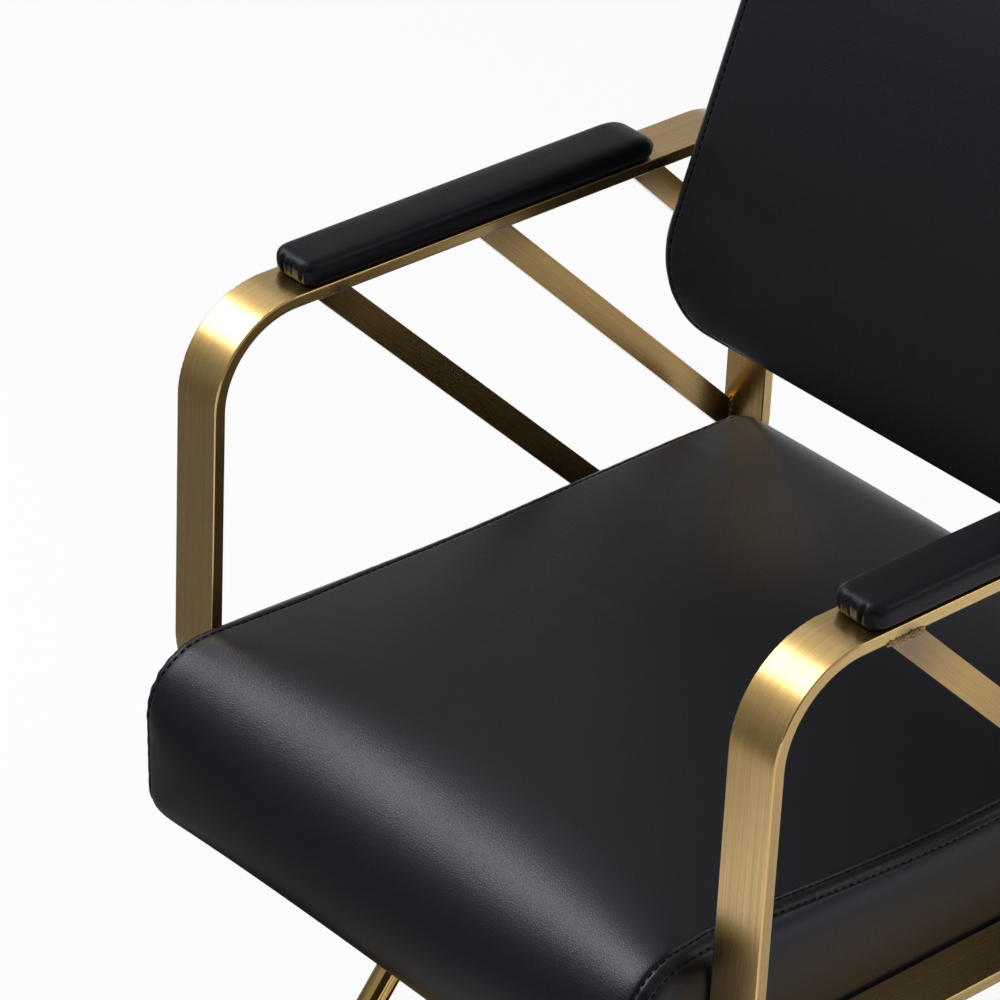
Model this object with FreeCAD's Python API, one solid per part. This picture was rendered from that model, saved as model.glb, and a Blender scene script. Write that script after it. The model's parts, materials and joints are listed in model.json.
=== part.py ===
import FreeCAD, Part
import math
import os
from FreeCAD import Vector

# Barber chair: padded seat and back between two closed arm loops of flat bar,
# on a hydraulic lift column with a round foot.  Millimetres, +Z up, front is -Y.
# The seat unit is drawn level in its own frame: origin on the swivel axis at
# the underside of the seat board.  It is tipped back and lifted at the end.

# seat unit placing
SEAT_TILT = 3.0
SEAT_BASE_Z = 345.0

# arm loops, flat bar bent to a closed rounded rectangle
BAR_W = 40.0
BAR_T = 9.0
LOOP_L = 519.0
LOOP_H = 320.0
LOOP_R = 68.0
LOOP_GAP = 486.0
LOOP_FRONT = -212.0
LOOP_BOTTOM = 37.0
BAR_EDGE_R = 1.2

# slanted flat bars inside each loop
BRACE_W = 20.0
BRACE_T = 8.0
BRACE_ANGLE = 44.0
BRACE_FIRST = 103.5
BRACE_PITCH = 142.5

# arm pads
PAD_L = 312.0
PAD_W = 41.0
PAD_H = 20.5
PAD_START = 77.0
PAD_CORNER = 11.0
PAD_ROLL = 6.0
PAD_CROWN = 1.5
PAD_WAIST_H = 6.0
PAD_FOOT_IN = 1.0
PAD_TOP_IN = 12.0
INSERT_H = 6.0
INSERT_W = 26.0
INSERT_L = 280.0
INSERT_COVER = 1.0
ARM_SCREW_IN = 62.0

# seat
SEAT_HALF_W = 229.0
SEAT_BULGE = 9.0
SEAT_FRONT = -280.5
SEAT_REAR = 281.0
SEAT_FRONT_H = 138.0
SEAT_REAR_H = 126.5
SEAT_CROWN = 10.0
SEAT_FRONT_SWELL = 9.0
SEAT_FRONT_RAKE = 4.5
SEAT_REAR_RAKE = 3.0
SEAT_FRONT_R = 52.0
SEAT_MID_FRONT_R = 62.0
SEAT_LOW_R = 24.0
SEAT_MID_LOW_R = 55.0
SEAT_REAR_R = 26.0
SEAT_REAR_LOW_R = 16.0
SEAT_PANEL_IN = 13.0
BOARD_T = 15.0
BOARD_W = 424.0
BOARD_FRONT = -206.0
BOARD_REAR = 258.0
BOARD_LEFT_OVER = 3.0

# rails and plate under the seat
RAIL_W = 40.0
RAIL_T = 8.0
RAIL_HALF = 254.0
RAIL_Y = 110.0
LUG_T = 8.0
PLATE_T = 6.0
PLATE_W = 228.0
PLATE_L = 272.0
PLATE_BOLT_X = 46.0
SEAT_SCREW_X = 190.0

# back rest
BACK_LEAN = 16.5
BACK_Y = 217.5
BACK_Z = 234.5
BACK_H = 385.0
BACK_LOW_HALF = 238.0
BACK_TOP_HALF = 222.5
BACK_LOW_R = 58.5
BACK_TOP_R = 62.0
BACK_EDGE = 66.0
BACK_ROLL = 22.0
BACK_CROWN = 6.0
BACK_WAIST = 30.0
BACK_FOOT_IN = 4.0
BACK_TOP_IN = 110.0
BACK_BOARD_T = 12.0
BACK_BOARD_IN = 16.0
BACK_RAIL_Z = 245.0
BACK_RAIL_SET = 0.5
STRAP_W = 40.0
STRAP_T = 6.0
STRAP_X = 110.0
STRAP_LOW = 30.0
STRAP_LEN = 230.0
STRAP_SCREW_LOW = 75.0
STRAP_SCREW_TOP = 20.0
BACK_ARM_T = 10.0

# foot rest
STEM_D = 19.0
STEM_WALL = 1.5
STEM_X = 80.0
STEM_REAR = -30.0
STEM_KNEE = -150.0
STEM_ANGLE = 52.5
STEM_DROP = 150.0
STEM_TOE = 74.0
STEM_BEND_R = 42.0
FOOT_BAR_D = 25.0
FOOT_BAR_WALL = 1.5
FOOT_BAR_HALF = 185.0
CAP_D = 28.0
CAP_T = 5.0
CAP_PLUG = 18.0
CAP_EDGE_R = 2.0
SADDLE_T = 2.5
SADDLE_W = 22.0
SADDLE_EAR = 14.0
SADDLE_Y = -112.0

# lift column
COLUMN_TOP = 250.0
PISTON_D = 50.0
PISTON_BOTTOM = 62.0
SPIGOT_D = 40.0
SPIGOT_H = 56.0
SPIGOT_TOP_CLEAR = 1.0
COLLAR_D = 66.0
COLLAR_H = 8.0
LIFT_REST_GAP = 0.1
RUN_CLEAR = 0.05
WASHER_T = 2.0
WASHER_IN = 1.0
HUB_D = 82.0
CYLINDER_D = 68.0
GLAND_D = 58.0
GLAND_H = 36.0
CYLINDER_CLEAR = 1.0
CYLINDER_SUMP = 10.0
SLEEVE_D = 90.0
SLEEVE_WALL = 2.0
CAP_RING_T = 4.0

# foot of the chair
BASE_R = 290.0
BASE_RIM_H = 8.0
BASE_CROWN_H = 34.0
BASE_FLAT_R = 96.0
BASE_WALL = 3.5
BASE_SAG = 6.5
BASE_RIM_IN = 2.1
RING_H = 4.0
RING_W = 14.0
BLOCK_D = 124.0
BLOCK_TOP = 100.0
FLANGE_D = 180.0
FLANGE_T = 8.0
BASE_BOLT_R = 76.0

# pump lever, pointing to the rear
PIVOT_Y = 80.0
PIVOT_Z = 76.0
PIN_D = 12.0
CHEEK_T = 10.0
LEVER_ROOT_T = 15.6
CHEEK_GAP = 16.0
CHEEK_ROOT = 40.0
CHEEK_END = 14.0
PIN_OVER = 3.0
EYE_R = 13.0
TONGUE_L = 30.0
TONGUE_H = 22.0
LEVER_RISE = 14.0
LEVER_D = 16.0
PEDAL_L = 66.0
PEDAL_D = 26.0
PEDAL_TIP = 5.0
PEDAL_EDGE_R = 3.0

# fasteners
M8 = 8.0
M6 = 6.0
HOLE_CLEAR = 0.6
M8_HEAD_D = 15.0
M8_HEAD_H = 5.5
M6_HEAD_D = 12.0
M6_HEAD_H = 4.0

TOP = LOOP_BOTTOM + LOOP_H
HALF_GAP = LOOP_GAP / 2.0
X_AXIS = Vector(1, 0, 0)
Y_AXIS = Vector(0, 1, 0)
Z_AXIS = Vector(0, 0, 1)
ORIGIN = Vector(0, 0, 0)

os.makedirs("parts", exist_ok=True)


def save(name, shape):
    shape.exportStep("parts/" + name + ".step")


def tip(shape):
    """Tip a shape of the seat unit back and lift it on to the column."""
    placed = shape.copy()
    placed.rotate(ORIGIN, X_AXIS, -SEAT_TILT)
    placed.translate(Vector(0, 0, SEAT_BASE_Z))
    return placed


def lean_back(shape):
    """Bring a shape of the back rest into the seat unit."""
    placed = shape.copy()
    placed.rotate(ORIGIN, X_AXIS, -BACK_LEAN)
    placed.translate(Vector(0, BACK_Y, BACK_Z))
    return placed


def mirrored(shape):
    return shape.mirror(ORIGIN, X_AXIS)


def box(x0, x1, y0, y1, z0, z1):
    return Part.makeBox(x1 - x0, y1 - y0, z1 - z0, Vector(x0, y0, z0))


def rod(radius, start, direction, length):
    return Part.makeCylinder(radius, length, start, direction)


def rounded_wire(points, radii, place):
    """Closed wire of lines and tangent arcs through 2-D corners."""
    count = len(points)
    starts = []
    mids = []
    ends = []
    for i in range(count):
        corner = Vector(points[i][0], points[i][1], 0)
        before = Vector(points[i - 1][0], points[i - 1][1], 0) - corner
        after = Vector(points[(i + 1) % count][0], points[(i + 1) % count][1], 0) - corner
        before.normalize()
        after.normalize()
        half = before.getAngle(after) / 2.0
        reach = radii[i] / math.tan(half)
        inward = before + after
        inward.normalize()
        centre = corner + inward * (radii[i] / math.sin(half))
        starts.append(corner + before * reach)
        ends.append(corner + after * reach)
        mids.append(centre - inward * radii[i])
    edges = []
    for i in range(count):
        a = place(starts[i].x, starts[i].y)
        m = place(mids[i].x, mids[i].y)
        b = place(ends[i].x, ends[i].y)
        edges.append(Part.Arc(a, m, b).toShape())
        nxt = starts[(i + 1) % count]
        edges.append(Part.makeLine(b, place(nxt.x, nxt.y)))
    return Part.Wire(edges)


def side_plane(x):
    return lambda y, z: Vector(x, y, z)


def flat_plane(z):
    return lambda x, y: Vector(x, y, z)


def front_plane(y):
    return lambda x, z: Vector(x, y, z)


def rectangle(x0, x1, y0, y1):
    return [(x0, y0), (x1, y0), (x1, y1), (x0, y1)]


def prism(wire, direction):
    return Part.Face(wire).extrude(direction)


def bolt(head, direction, head_d, head_h, shank_d, length, sides=0):
    """Head starts at its outer end; the shank follows along the direction."""
    if sides:
        ring = Part.makePolygon([
            Vector(head_d / 2.0 * math.cos(math.pi * 2 * i / sides),
                   head_d / 2.0 * math.sin(math.pi * 2 * i / sides), 0)
            for i in range(sides + 1)])
        top = prism(ring, Vector(0, 0, head_h))
    else:
        top = Part.makeCylinder(head_d / 2.0, head_h)
        top = top.makeFillet(head_h * 0.35, [top.Edges[2]])
    shank = Part.makeCylinder(shank_d / 2.0, length, Vector(0, 0, head_h))
    shape = top.fuse(shank).removeSplitter()
    turn = FreeCAD.Rotation(Z_AXIS, direction)
    shape.Placement = FreeCAD.Placement(head, turn)
    return shape


# arm loops
loop_outer = rectangle(LOOP_FRONT, LOOP_FRONT + LOOP_L, LOOP_BOTTOM, TOP)
loop_inner = rectangle(LOOP_FRONT + BAR_T, LOOP_FRONT + LOOP_L - BAR_T,
                       LOOP_BOTTOM + BAR_T, TOP - BAR_T)
loop_x = -HALF_GAP - BAR_W
across = Vector(BAR_W, 0, 0)
outside = prism(rounded_wire(loop_outer, [LOOP_R] * 4, side_plane(loop_x)), across)
inside = prism(rounded_wire(loop_inner, [LOOP_R - BAR_T] * 4, side_plane(loop_x)), across)
plain_loop = outside.cut(inside)
loop = plain_loop.makeFillet(BAR_EDGE_R, [
    e for e in plain_loop.Edges
    if abs(e.BoundBox.XMax - e.BoundBox.XMin) < 0.001])

# arm pad screws go up through the loop into the insert under the pad
pad_y0 = LOOP_FRONT + PAD_START
pad_x = -HALF_GAP - BAR_W / 2.0
insert = box(pad_x - INSERT_W / 2.0, pad_x + INSERT_W / 2.0,
             pad_y0 + (PAD_L - INSERT_L) / 2.0, pad_y0 + (PAD_L + INSERT_L) / 2.0,
             TOP, TOP + INSERT_H)
arm_screw_ys = [pad_y0 + ARM_SCREW_IN, pad_y0 + PAD_L - ARM_SCREW_IN]
arm_screws = []
for y in arm_screw_ys:
    loop = loop.cut(rod((M6 + HOLE_CLEAR) / 2.0, Vector(pad_x, y, TOP - BAR_T - 1), Z_AXIS, BAR_T + 2))
    screw = bolt(Vector(pad_x, y, TOP - BAR_T - M6_HEAD_H), Z_AXIS, M6_HEAD_D, M6_HEAD_H, M6,
                 BAR_T + INSERT_H - INSERT_COVER)
    insert = insert.cut(rod(M6 / 2.0, Vector(pad_x, y, TOP), Z_AXIS, INSERT_H - INSERT_COVER))
    arm_screws.append(screw)
# each loop is two halves, butted under the arm pad and in the bottom bar, and each half is
# a leg between two bends with a run of bar at either end
loop_mid = LOOP_FRONT + LOOP_L / 2.0
loop_rear = LOOP_FRONT + LOOP_L
bend_zs = [LOOP_BOTTOM, LOOP_BOTTOM + LOOP_R, TOP - LOOP_R, TOP]
for half, leg_ys, run_ys in (("front", (LOOP_FRONT, LOOP_FRONT + LOOP_R), (LOOP_FRONT + LOOP_R, loop_mid)),
                             ("rear", (loop_rear - LOOP_R, loop_rear), (loop_mid, loop_rear - LOOP_R))):
    runs = []
    for z0, z1 in zip(bend_zs[:-1], bend_zs[1:]):
        runs.append(loop.common(box(loop_x, loop_x + BAR_W, leg_ys[0], leg_ys[1], z0, z1)))
    for z0, z1 in (bend_zs[:2], bend_zs[2:]):
        runs.append(loop.common(box(loop_x, loop_x + BAR_W, run_ys[0], run_ys[1], z0, z1)))
    bent = Part.makeCompound([run.Solids[0] for run in runs])
    save("arm_frame_" + half + "_left", tip(bent))
    save("arm_frame_" + half + "_right", tip(mirrored(bent)))
save("arm_insert_left", tip(insert))
save("arm_insert_right", tip(mirrored(insert)))
arm_screws = arm_screws + [mirrored(s) for s in arm_screws]
save("arm_screws", tip(Part.makeCompound(arm_screws)))

# arm pads: stacked outlines, drawn in at the foot and over the crown
def rolled(depth, roll):
    """Pairs of depth and inset along a quarter-round edge that ends at a depth."""
    pairs = []
    for step in range(5):
        turn = math.radians(22.5 * step)
        pairs.append((depth - roll + roll * math.sin(turn), roll - roll * math.cos(turn)))
    return pairs


pad_layers = [(0.0, PAD_FOOT_IN), (PAD_WAIST_H, 0.0)] + rolled(PAD_H - PAD_CROWN, PAD_ROLL)
pad_layers.append((PAD_H, PAD_TOP_IN))
pad_wires = []
for height, inset in pad_layers:
    outline = rectangle(pad_x - PAD_W / 2.0 + inset, pad_x + PAD_W / 2.0 - inset,
                        pad_y0 + inset, pad_y0 + PAD_L - inset)
    pad_wires.append(rounded_wire(outline, [PAD_CORNER - inset * 0.4] * 4, flat_plane(TOP + height)))
arm_pad = Part.makeLoft(pad_wires, True, True)
arm_pad = arm_pad.cut(box(pad_x - INSERT_W / 2.0, pad_x + INSERT_W / 2.0,
                          pad_y0 + (PAD_L - INSERT_L) / 2.0, pad_y0 + (PAD_L + INSERT_L) / 2.0,
                          TOP - 1.0, TOP + INSERT_H))
save("arm_pad_left", tip(arm_pad))
save("arm_pad_right", tip(mirrored(arm_pad)))

# slanted bars, flush with the outer edges of the loop and cut to its inner faces
slope = math.radians(BRACE_ANGLE)
for i, place_name in enumerate(("front", "middle", "rear")):
    bar = box(loop_x, loop_x + BRACE_T, -LOOP_R, LOOP_L, -BRACE_W / 2.0, BRACE_W / 2.0)
    bar.rotate(ORIGIN, X_AXIS, -BRACE_ANGLE)
    bar.translate(Vector(0, LOOP_FRONT + BRACE_FIRST + BRACE_PITCH * i, TOP - BAR_T))
    bar = bar.common(inside)
    save("brace_" + place_name + "_left", tip(bar))
    save("brace_" + place_name + "_right", tip(mirrored(bar)))

# seat board and cushion
board = box(-BOARD_W / 2.0, BOARD_W / 2.0, BOARD_FRONT, BOARD_REAR, 0, BOARD_T)
plain_board = board


def seat_section(x, rise, bulge, inset, front_r, low_r):
    corners = [(SEAT_FRONT + SEAT_FRONT_RAKE + inset, inset),
               (SEAT_FRONT - bulge + inset, SEAT_FRONT_H + rise - inset),
               (SEAT_REAR + bulge * 0.5 - inset, SEAT_REAR_H + rise - inset),
               (SEAT_REAR - SEAT_REAR_RAKE - inset, inset)]
    radii = [low_r - inset, front_r - inset, SEAT_REAR_R - inset, SEAT_REAR_LOW_R - inset]
    return rounded_wire(corners, radii, side_plane(x))


end_wires = [seat_section(s * SEAT_HALF_W, 0, 0, 0, SEAT_FRONT_R, SEAT_LOW_R) for s in (-1, 1)]
mid_wire = seat_section(0, SEAT_CROWN, SEAT_FRONT_SWELL, 0, SEAT_MID_FRONT_R, SEAT_MID_LOW_R)
cushion = Part.makeLoft([end_wires[0], mid_wire, end_wires[1]], True, False)
for s, wire in ((-1, end_wires[0]), (1, end_wires[1])):
    panel = seat_section(s * (SEAT_HALF_W + SEAT_BULGE), 0, 0, SEAT_PANEL_IN, SEAT_FRONT_R, SEAT_LOW_R)
    cushion = cushion.fuse(Part.makeLoft([wire, panel], True, True))
cushion = cushion.cut(plain_board)
save("seat_cushion", tip(cushion))

# rails under the seat, lugs up to the loops, plate and bolts
plate = box(-PLATE_W / 2.0, PLATE_W / 2.0, -PLATE_L / 2.0, PLATE_L / 2.0, -RAIL_T - PLATE_T, -RAIL_T)
rails = {}
for name, y in (("front", -RAIL_Y), ("rear", RAIL_Y)):
    rails[name] = box(-RAIL_HALF, RAIL_HALF, y - RAIL_W / 2.0, y + RAIL_W / 2.0, -RAIL_T, 0)
    lug = box(-RAIL_HALF, -RAIL_HALF + LUG_T, y - RAIL_W / 2.0, y + RAIL_W / 2.0, 0, LOOP_BOTTOM)
    save("lug_" + name + "_left", tip(lug))
    save("lug_" + name + "_right", tip(mirrored(lug)))
plate_bolts = []
seat_screws = []
for name, y in (("front", -RAIL_Y), ("rear", RAIL_Y)):
    for x in (-PLATE_BOLT_X, PLATE_BOLT_X):
        low = Vector(x, y, -RAIL_T - PLATE_T - M8_HEAD_H)
        grip = PLATE_T + RAIL_T + BOARD_T - BOARD_LEFT_OVER
        plate_bolts.append(bolt(low, Z_AXIS, M8_HEAD_D, M8_HEAD_H, M8, grip, 6))
        wide = rod((M8 + HOLE_CLEAR) / 2.0, low, Z_AXIS, M8_HEAD_H + PLATE_T + RAIL_T)
        plate = plate.cut(wide)
        rails[name] = rails[name].cut(wide)
        board = board.cut(rod(M8 / 2.0, Vector(x, y, 0), Z_AXIS, BOARD_T - BOARD_LEFT_OVER))
    for x in (-SEAT_SCREW_X, SEAT_SCREW_X):
        low = Vector(x, y, -RAIL_T - M6_HEAD_H)
        seat_screws.append(bolt(low, Z_AXIS, M6_HEAD_D, M6_HEAD_H, M6, RAIL_T + BOARD_T - BOARD_LEFT_OVER))
        rails[name] = rails[name].cut(rod((M6 + HOLE_CLEAR) / 2.0, low, Z_AXIS, M6_HEAD_H + RAIL_T))
        board = board.cut(rod(M6 / 2.0, Vector(x, y, 0), Z_AXIS, BOARD_T - BOARD_LEFT_OVER))
save("seat_board", tip(board))
save("rail_front", tip(rails["front"]))
save("rail_rear", tip(rails["rear"]))
save("plate_bolts", tip(Part.makeCompound(plate_bolts)))
save("seat_screws", tip(Part.makeCompound(seat_screws)))


# back rest, drawn upright with its rear plane at y = 0 and its lower edge at z = 0
def back_outline(y, inset):
    corners = [(-BACK_LOW_HALF + inset, inset), (BACK_LOW_HALF - inset, inset),
               (BACK_TOP_HALF - inset, BACK_H - inset), (-BACK_TOP_HALF + inset, BACK_H - inset)]
    low_r = BACK_LOW_R - inset * 0.5
    top_r = BACK_TOP_R - inset * 0.5
    return rounded_wire(corners, [low_r, low_r, top_r, top_r], front_plane(y))


back_layers = [(0.0, BACK_FOOT_IN), (BACK_WAIST, 0.0)] + rolled(BACK_EDGE, BACK_ROLL)
for share in (0.35, 0.7, 1.0):
    rise = BACK_CROWN * math.sin(math.radians(90.0 * share))
    back_layers.append((BACK_EDGE + rise, BACK_ROLL + (BACK_TOP_IN - BACK_ROLL) * share))
back_cushion = Part.makeLoft([back_outline(-depth, inset) for depth, inset in back_layers], True, True)
board_wire = back_outline(0.0, BACK_BOARD_IN)
back_board = prism(board_wire, Vector(0, -BACK_BOARD_T, 0))
back_cushion = back_cushion.cut(back_board)
straps = []
back_screws = []
for x in (-STRAP_X, STRAP_X):
    strap = box(x - STRAP_W / 2.0, x + STRAP_W / 2.0, 0, STRAP_T, STRAP_LOW, STRAP_LOW + STRAP_LEN)
    for z in (STRAP_LOW + STRAP_SCREW_LOW, STRAP_LOW + STRAP_LEN - STRAP_SCREW_TOP):
        start = Vector(x, STRAP_T + M6_HEAD_H, z)
        into = Vector(0, -1, 0)
        grip = BACK_BOARD_T - BOARD_LEFT_OVER
        back_screws.append(bolt(start, into, M6_HEAD_D, M6_HEAD_H, M6, STRAP_T + grip))
        strap = strap.cut(rod((M6 + HOLE_CLEAR) / 2.0, start, into, M6_HEAD_H + STRAP_T))
        back_board = back_board.cut(rod(M6 / 2.0, Vector(x, 0, z), into, grip))
    straps.append(strap)
save("back_cushion", tip(lean_back(back_cushion)))
save("back_board", tip(lean_back(back_board)))
save("back_strap_left", tip(lean_back(straps[0])))
save("back_strap_right", tip(lean_back(straps[1])))
save("back_screws", tip(lean_back(Part.makeCompound(back_screws))))

# cross rail between the rear legs of the loops, arms from it to the straps
leg_y = LOOP_FRONT + LOOP_L - BAR_T
rail_front_y = leg_y + BACK_RAIL_SET
back_rail = box(-HALF_GAP, HALF_GAP, rail_front_y, rail_front_y + RAIL_T, BACK_RAIL_Z, BACK_RAIL_Z + RAIL_W)
save("back_rail", tip(back_rail))
behind_strap = box(-LOOP_GAP, LOOP_GAP, STRAP_T, LOOP_L, -LOOP_H, BACK_H)
behind_strap = lean_back(behind_strap)
for side, x in (("left", -STRAP_X), ("right", STRAP_X)):
    arm = box(x - BACK_ARM_T / 2.0, x + BACK_ARM_T / 2.0, rail_front_y - LOOP_H, rail_front_y,
              BACK_RAIL_Z, BACK_RAIL_Z + RAIL_W)
    save("back_arm_" + side, tip(arm.common(behind_strap)))

# foot rest: two bent tubes under the plate and a cross tube
stem_z = -RAIL_T - PLATE_T - STEM_D / 2.0
fall = math.radians(STEM_ANGLE)
knee = Vector(0, STEM_KNEE, stem_z)
ankle = knee + Vector(0, -STEM_DROP / math.tan(fall), -STEM_DROP)
toe = ankle + Vector(0, -STEM_TOE, 0)


def bend(before, corner, after, radius):
    a = before - corner
    b = after - corner
    a.normalize()
    b.normalize()
    half = a.getAngle(b) / 2.0
    reach = radius / math.tan(half)
    inward = a + b
    inward.normalize()
    middle = corner + inward * (radius / math.sin(half) - radius)
    return corner + a * reach, middle, corner + b * reach


def tube_path(rear, front):
    k0, k1, k2 = bend(rear, knee, ankle, STEM_BEND_R)
    a0, a1, a2 = bend(knee, ankle, front, STEM_BEND_R)
    return Part.Wire([Part.makeLine(rear, k0), Part.Arc(k0, k1, k2).toShape(), Part.makeLine(k2, a0),
                      Part.Arc(a0, a1, a2).toShape(), Part.makeLine(a2, front)])


def swept(radius, rear, front):
    ring = Part.Wire([Part.makeCircle(radius, rear, Y_AXIS)])
    return tube_path(rear, front).makePipeShell([ring], True, True)


stem_rear = Vector(0, STEM_REAR, stem_z)
stem = swept(STEM_D / 2.0, stem_rear, toe)
hollow = swept(STEM_D / 2.0 - STEM_WALL, stem_rear, toe)
foot_axis = Vector(-FOOT_BAR_HALF, toe.y, toe.z)
foot_solid = rod(FOOT_BAR_D / 2.0, foot_axis, X_AXIS, 2 * FOOT_BAR_HALF)
stem = stem.cut(hollow).cut(foot_solid)
stem_left = stem.copy()
stem_left.translate(Vector(-STEM_X, 0, 0))
save("footrest_stem_left", tip(stem_left))
save("footrest_stem_right", tip(mirrored(stem_left)))
foot_hollow = rod(FOOT_BAR_D / 2.0 - FOOT_BAR_WALL, foot_axis, X_AXIS, 2 * FOOT_BAR_HALF)
save("foot_bar", tip(foot_solid.cut(foot_hollow)))
cap = rod(CAP_D / 2.0, Vector(-FOOT_BAR_HALF - CAP_T, toe.y, toe.z), X_AXIS, CAP_T)
cap = cap.makeFillet(CAP_EDGE_R, [e for e in cap.Edges if e.BoundBox.XMax < -FOOT_BAR_HALF - CAP_T + 0.01])
cap = cap.fuse(rod(FOOT_BAR_D / 2.0 - FOOT_BAR_WALL, foot_axis, X_AXIS, CAP_PLUG))
save("foot_cap_left", tip(cap))
save("foot_cap_right", tip(mirrored(cap)))

# saddles that hold the tubes under the plate
under = -RAIL_T - PLATE_T
ear_x = STEM_D / 2.0 + SADDLE_T + SADDLE_EAR
saddle_r = STEM_D / 2.0 + SADDLE_T
y0 = SADDLE_Y - SADDLE_W / 2.0
y1 = SADDLE_Y + SADDLE_W / 2.0
saddle = box(-saddle_r, saddle_r, y0, y1, stem_z, under)
saddle = saddle.fuse(rod(saddle_r, Vector(0, y0, stem_z), Y_AXIS, SADDLE_W))
saddle = saddle.fuse(box(-ear_x, ear_x, y0, y1, under - SADDLE_T, under))
saddle = saddle.cut(box(-STEM_D / 2.0, STEM_D / 2.0, y0, y1, stem_z, under))
saddle = saddle.cut(rod(STEM_D / 2.0, Vector(0, y0, stem_z), Y_AXIS, SADDLE_W))
saddle = saddle.cut(box(-saddle_r, saddle_r, y0, y1, under, under + saddle_r))
saddle = saddle.removeSplitter()
saddle_screws = []
for x in (-ear_x + SADDLE_EAR / 2.0, ear_x - SADDLE_EAR / 2.0):
    low = Vector(x, SADDLE_Y, under - SADDLE_T - M6_HEAD_H)
    hole = rod((M6 + HOLE_CLEAR) / 2.0, low, Z_AXIS, M6_HEAD_H + SADDLE_T)
    saddle = saddle.cut(hole)
    for side in (-1, 1):
        spot = low + Vector(side * STEM_X, 0, 0)
        saddle_screws.append(bolt(spot, Z_AXIS, M6_HEAD_D, M6_HEAD_H, M6, SADDLE_T + PLATE_T))
        plate = plate.cut(rod(M6 / 2.0, spot, Z_AXIS, M6_HEAD_H + SADDLE_T + PLATE_T))
saddle.translate(Vector(-STEM_X, 0, 0))
save("saddle_left", tip(saddle))
save("saddle_right", tip(mirrored(saddle)))
save("saddle_screws", tip(Part.makeCompound(saddle_screws)))
save("mounting_plate", tip(plate))

# lift column, world frame from here on
piston_low = COLUMN_TOP + LIFT_REST_GAP
shoulder = piston_low + COLLAR_H
piston = rod(PISTON_D / 2.0, Vector(0, 0, PISTON_BOTTOM), Z_AXIS, piston_low - PISTON_BOTTOM)
piston = piston.fuse(rod(COLLAR_D / 2.0, Vector(0, 0, piston_low), Z_AXIS, COLLAR_H))
piston = piston.fuse(rod(SPIGOT_D / 2.0, Vector(0, 0, shoulder), Z_AXIS, SPIGOT_H)).removeSplitter()
save("piston", piston)
washer = rod(COLLAR_D / 2.0 - WASHER_IN, Vector(0, 0, shoulder), Z_AXIS, WASHER_T)
washer = washer.cut(rod(SPIGOT_D / 2.0, Vector(0, 0, shoulder), Z_AXIS, WASHER_T))
save("thrust_washer", washer)

# swivel hub: level bore, top face cut to the tipped plate
hub_low = shoulder + WASHER_T + RUN_CLEAR
hub = rod(HUB_D / 2.0, Vector(0, 0, hub_low), Z_AXIS, SEAT_BASE_Z - hub_low)
above = tip(box(-HUB_D, HUB_D, -HUB_D, HUB_D, under, HUB_D))
hub = hub.cut(above)
bore_top = shoulder + SPIGOT_H + SPIGOT_TOP_CLEAR
hub = hub.cut(rod(SPIGOT_D / 2.0 + RUN_CLEAR, Vector(0, 0, hub_low), Z_AXIS, bore_top - hub_low))
save("swivel_hub", hub)

# gland, cylinder, sleeve and ring
gland_low = COLUMN_TOP - GLAND_H
gland = rod(GLAND_D / 2.0, Vector(0, 0, gland_low), Z_AXIS, GLAND_H)
gland = gland.cut(rod(PISTON_D / 2.0 + RUN_CLEAR, Vector(0, 0, gland_low), Z_AXIS, GLAND_H))
save("gland_bush", gland)
cylinder_low = BASE_CROWN_H + FLANGE_T
cylinder = rod(CYLINDER_D / 2.0, Vector(0, 0, cylinder_low), Z_AXIS, COLUMN_TOP - cylinder_low)
cylinder = cylinder.cut(rod(GLAND_D / 2.0, Vector(0, 0, gland_low), Z_AXIS, GLAND_H))
sump = PISTON_BOTTOM - CYLINDER_SUMP
cylinder = cylinder.cut(rod(PISTON_D / 2.0 + CYLINDER_CLEAR, Vector(0, 0, sump), Z_AXIS, gland_low - sump))
save("pump_cylinder", cylinder)
sleeve_top = COLUMN_TOP - CAP_RING_T
sleeve = rod(SLEEVE_D / 2.0, Vector(0, 0, BLOCK_TOP), Z_AXIS, sleeve_top - BLOCK_TOP)
sleeve = sleeve.cut(rod(SLEEVE_D / 2.0 - SLEEVE_WALL, Vector(0, 0, BLOCK_TOP), Z_AXIS, sleeve_top - BLOCK_TOP))
save("column_sleeve", sleeve)
ring = rod(SLEEVE_D / 2.0, Vector(0, 0, sleeve_top), Z_AXIS, CAP_RING_T)
ring = ring.cut(rod(CYLINDER_D / 2.0, Vector(0, 0, sleeve_top), Z_AXIS, CAP_RING_T))
save("column_ring", ring)

# pump block with flange and cheeks for the lever
block = rod(FLANGE_D / 2.0, Vector(0, 0, BASE_CROWN_H), Z_AXIS, FLANGE_T)
block = block.fuse(rod(BLOCK_D / 2.0, Vector(0, 0, BASE_CROWN_H), Z_AXIS, BLOCK_TOP - BASE_CROWN_H))
cheek_y = PIVOT_Y + CHEEK_END
for s in (-1, 1):
    inner = s * CHEEK_GAP / 2.0
    outer = s * (CHEEK_GAP / 2.0 + CHEEK_T)
    block = block.fuse(box(min(inner, outer), max(inner, outer), CHEEK_ROOT, cheek_y, BASE_CROWN_H, BLOCK_TOP))
block = block.cut(rod(CYLINDER_D / 2.0, Vector(0, 0, cylinder_low), Z_AXIS, BLOCK_TOP))
pin_half = CHEEK_GAP / 2.0 + CHEEK_T + PIN_OVER
pin = rod(PIN_D / 2.0, Vector(-pin_half, PIVOT_Y, PIVOT_Z), X_AXIS, 2 * pin_half)
block = block.cut(pin)
base_bolts = []
bolt_angles = [45.0, 135.0, 225.0, 315.0]
bolt_head_z = cylinder_low + M8_HEAD_H
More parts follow.
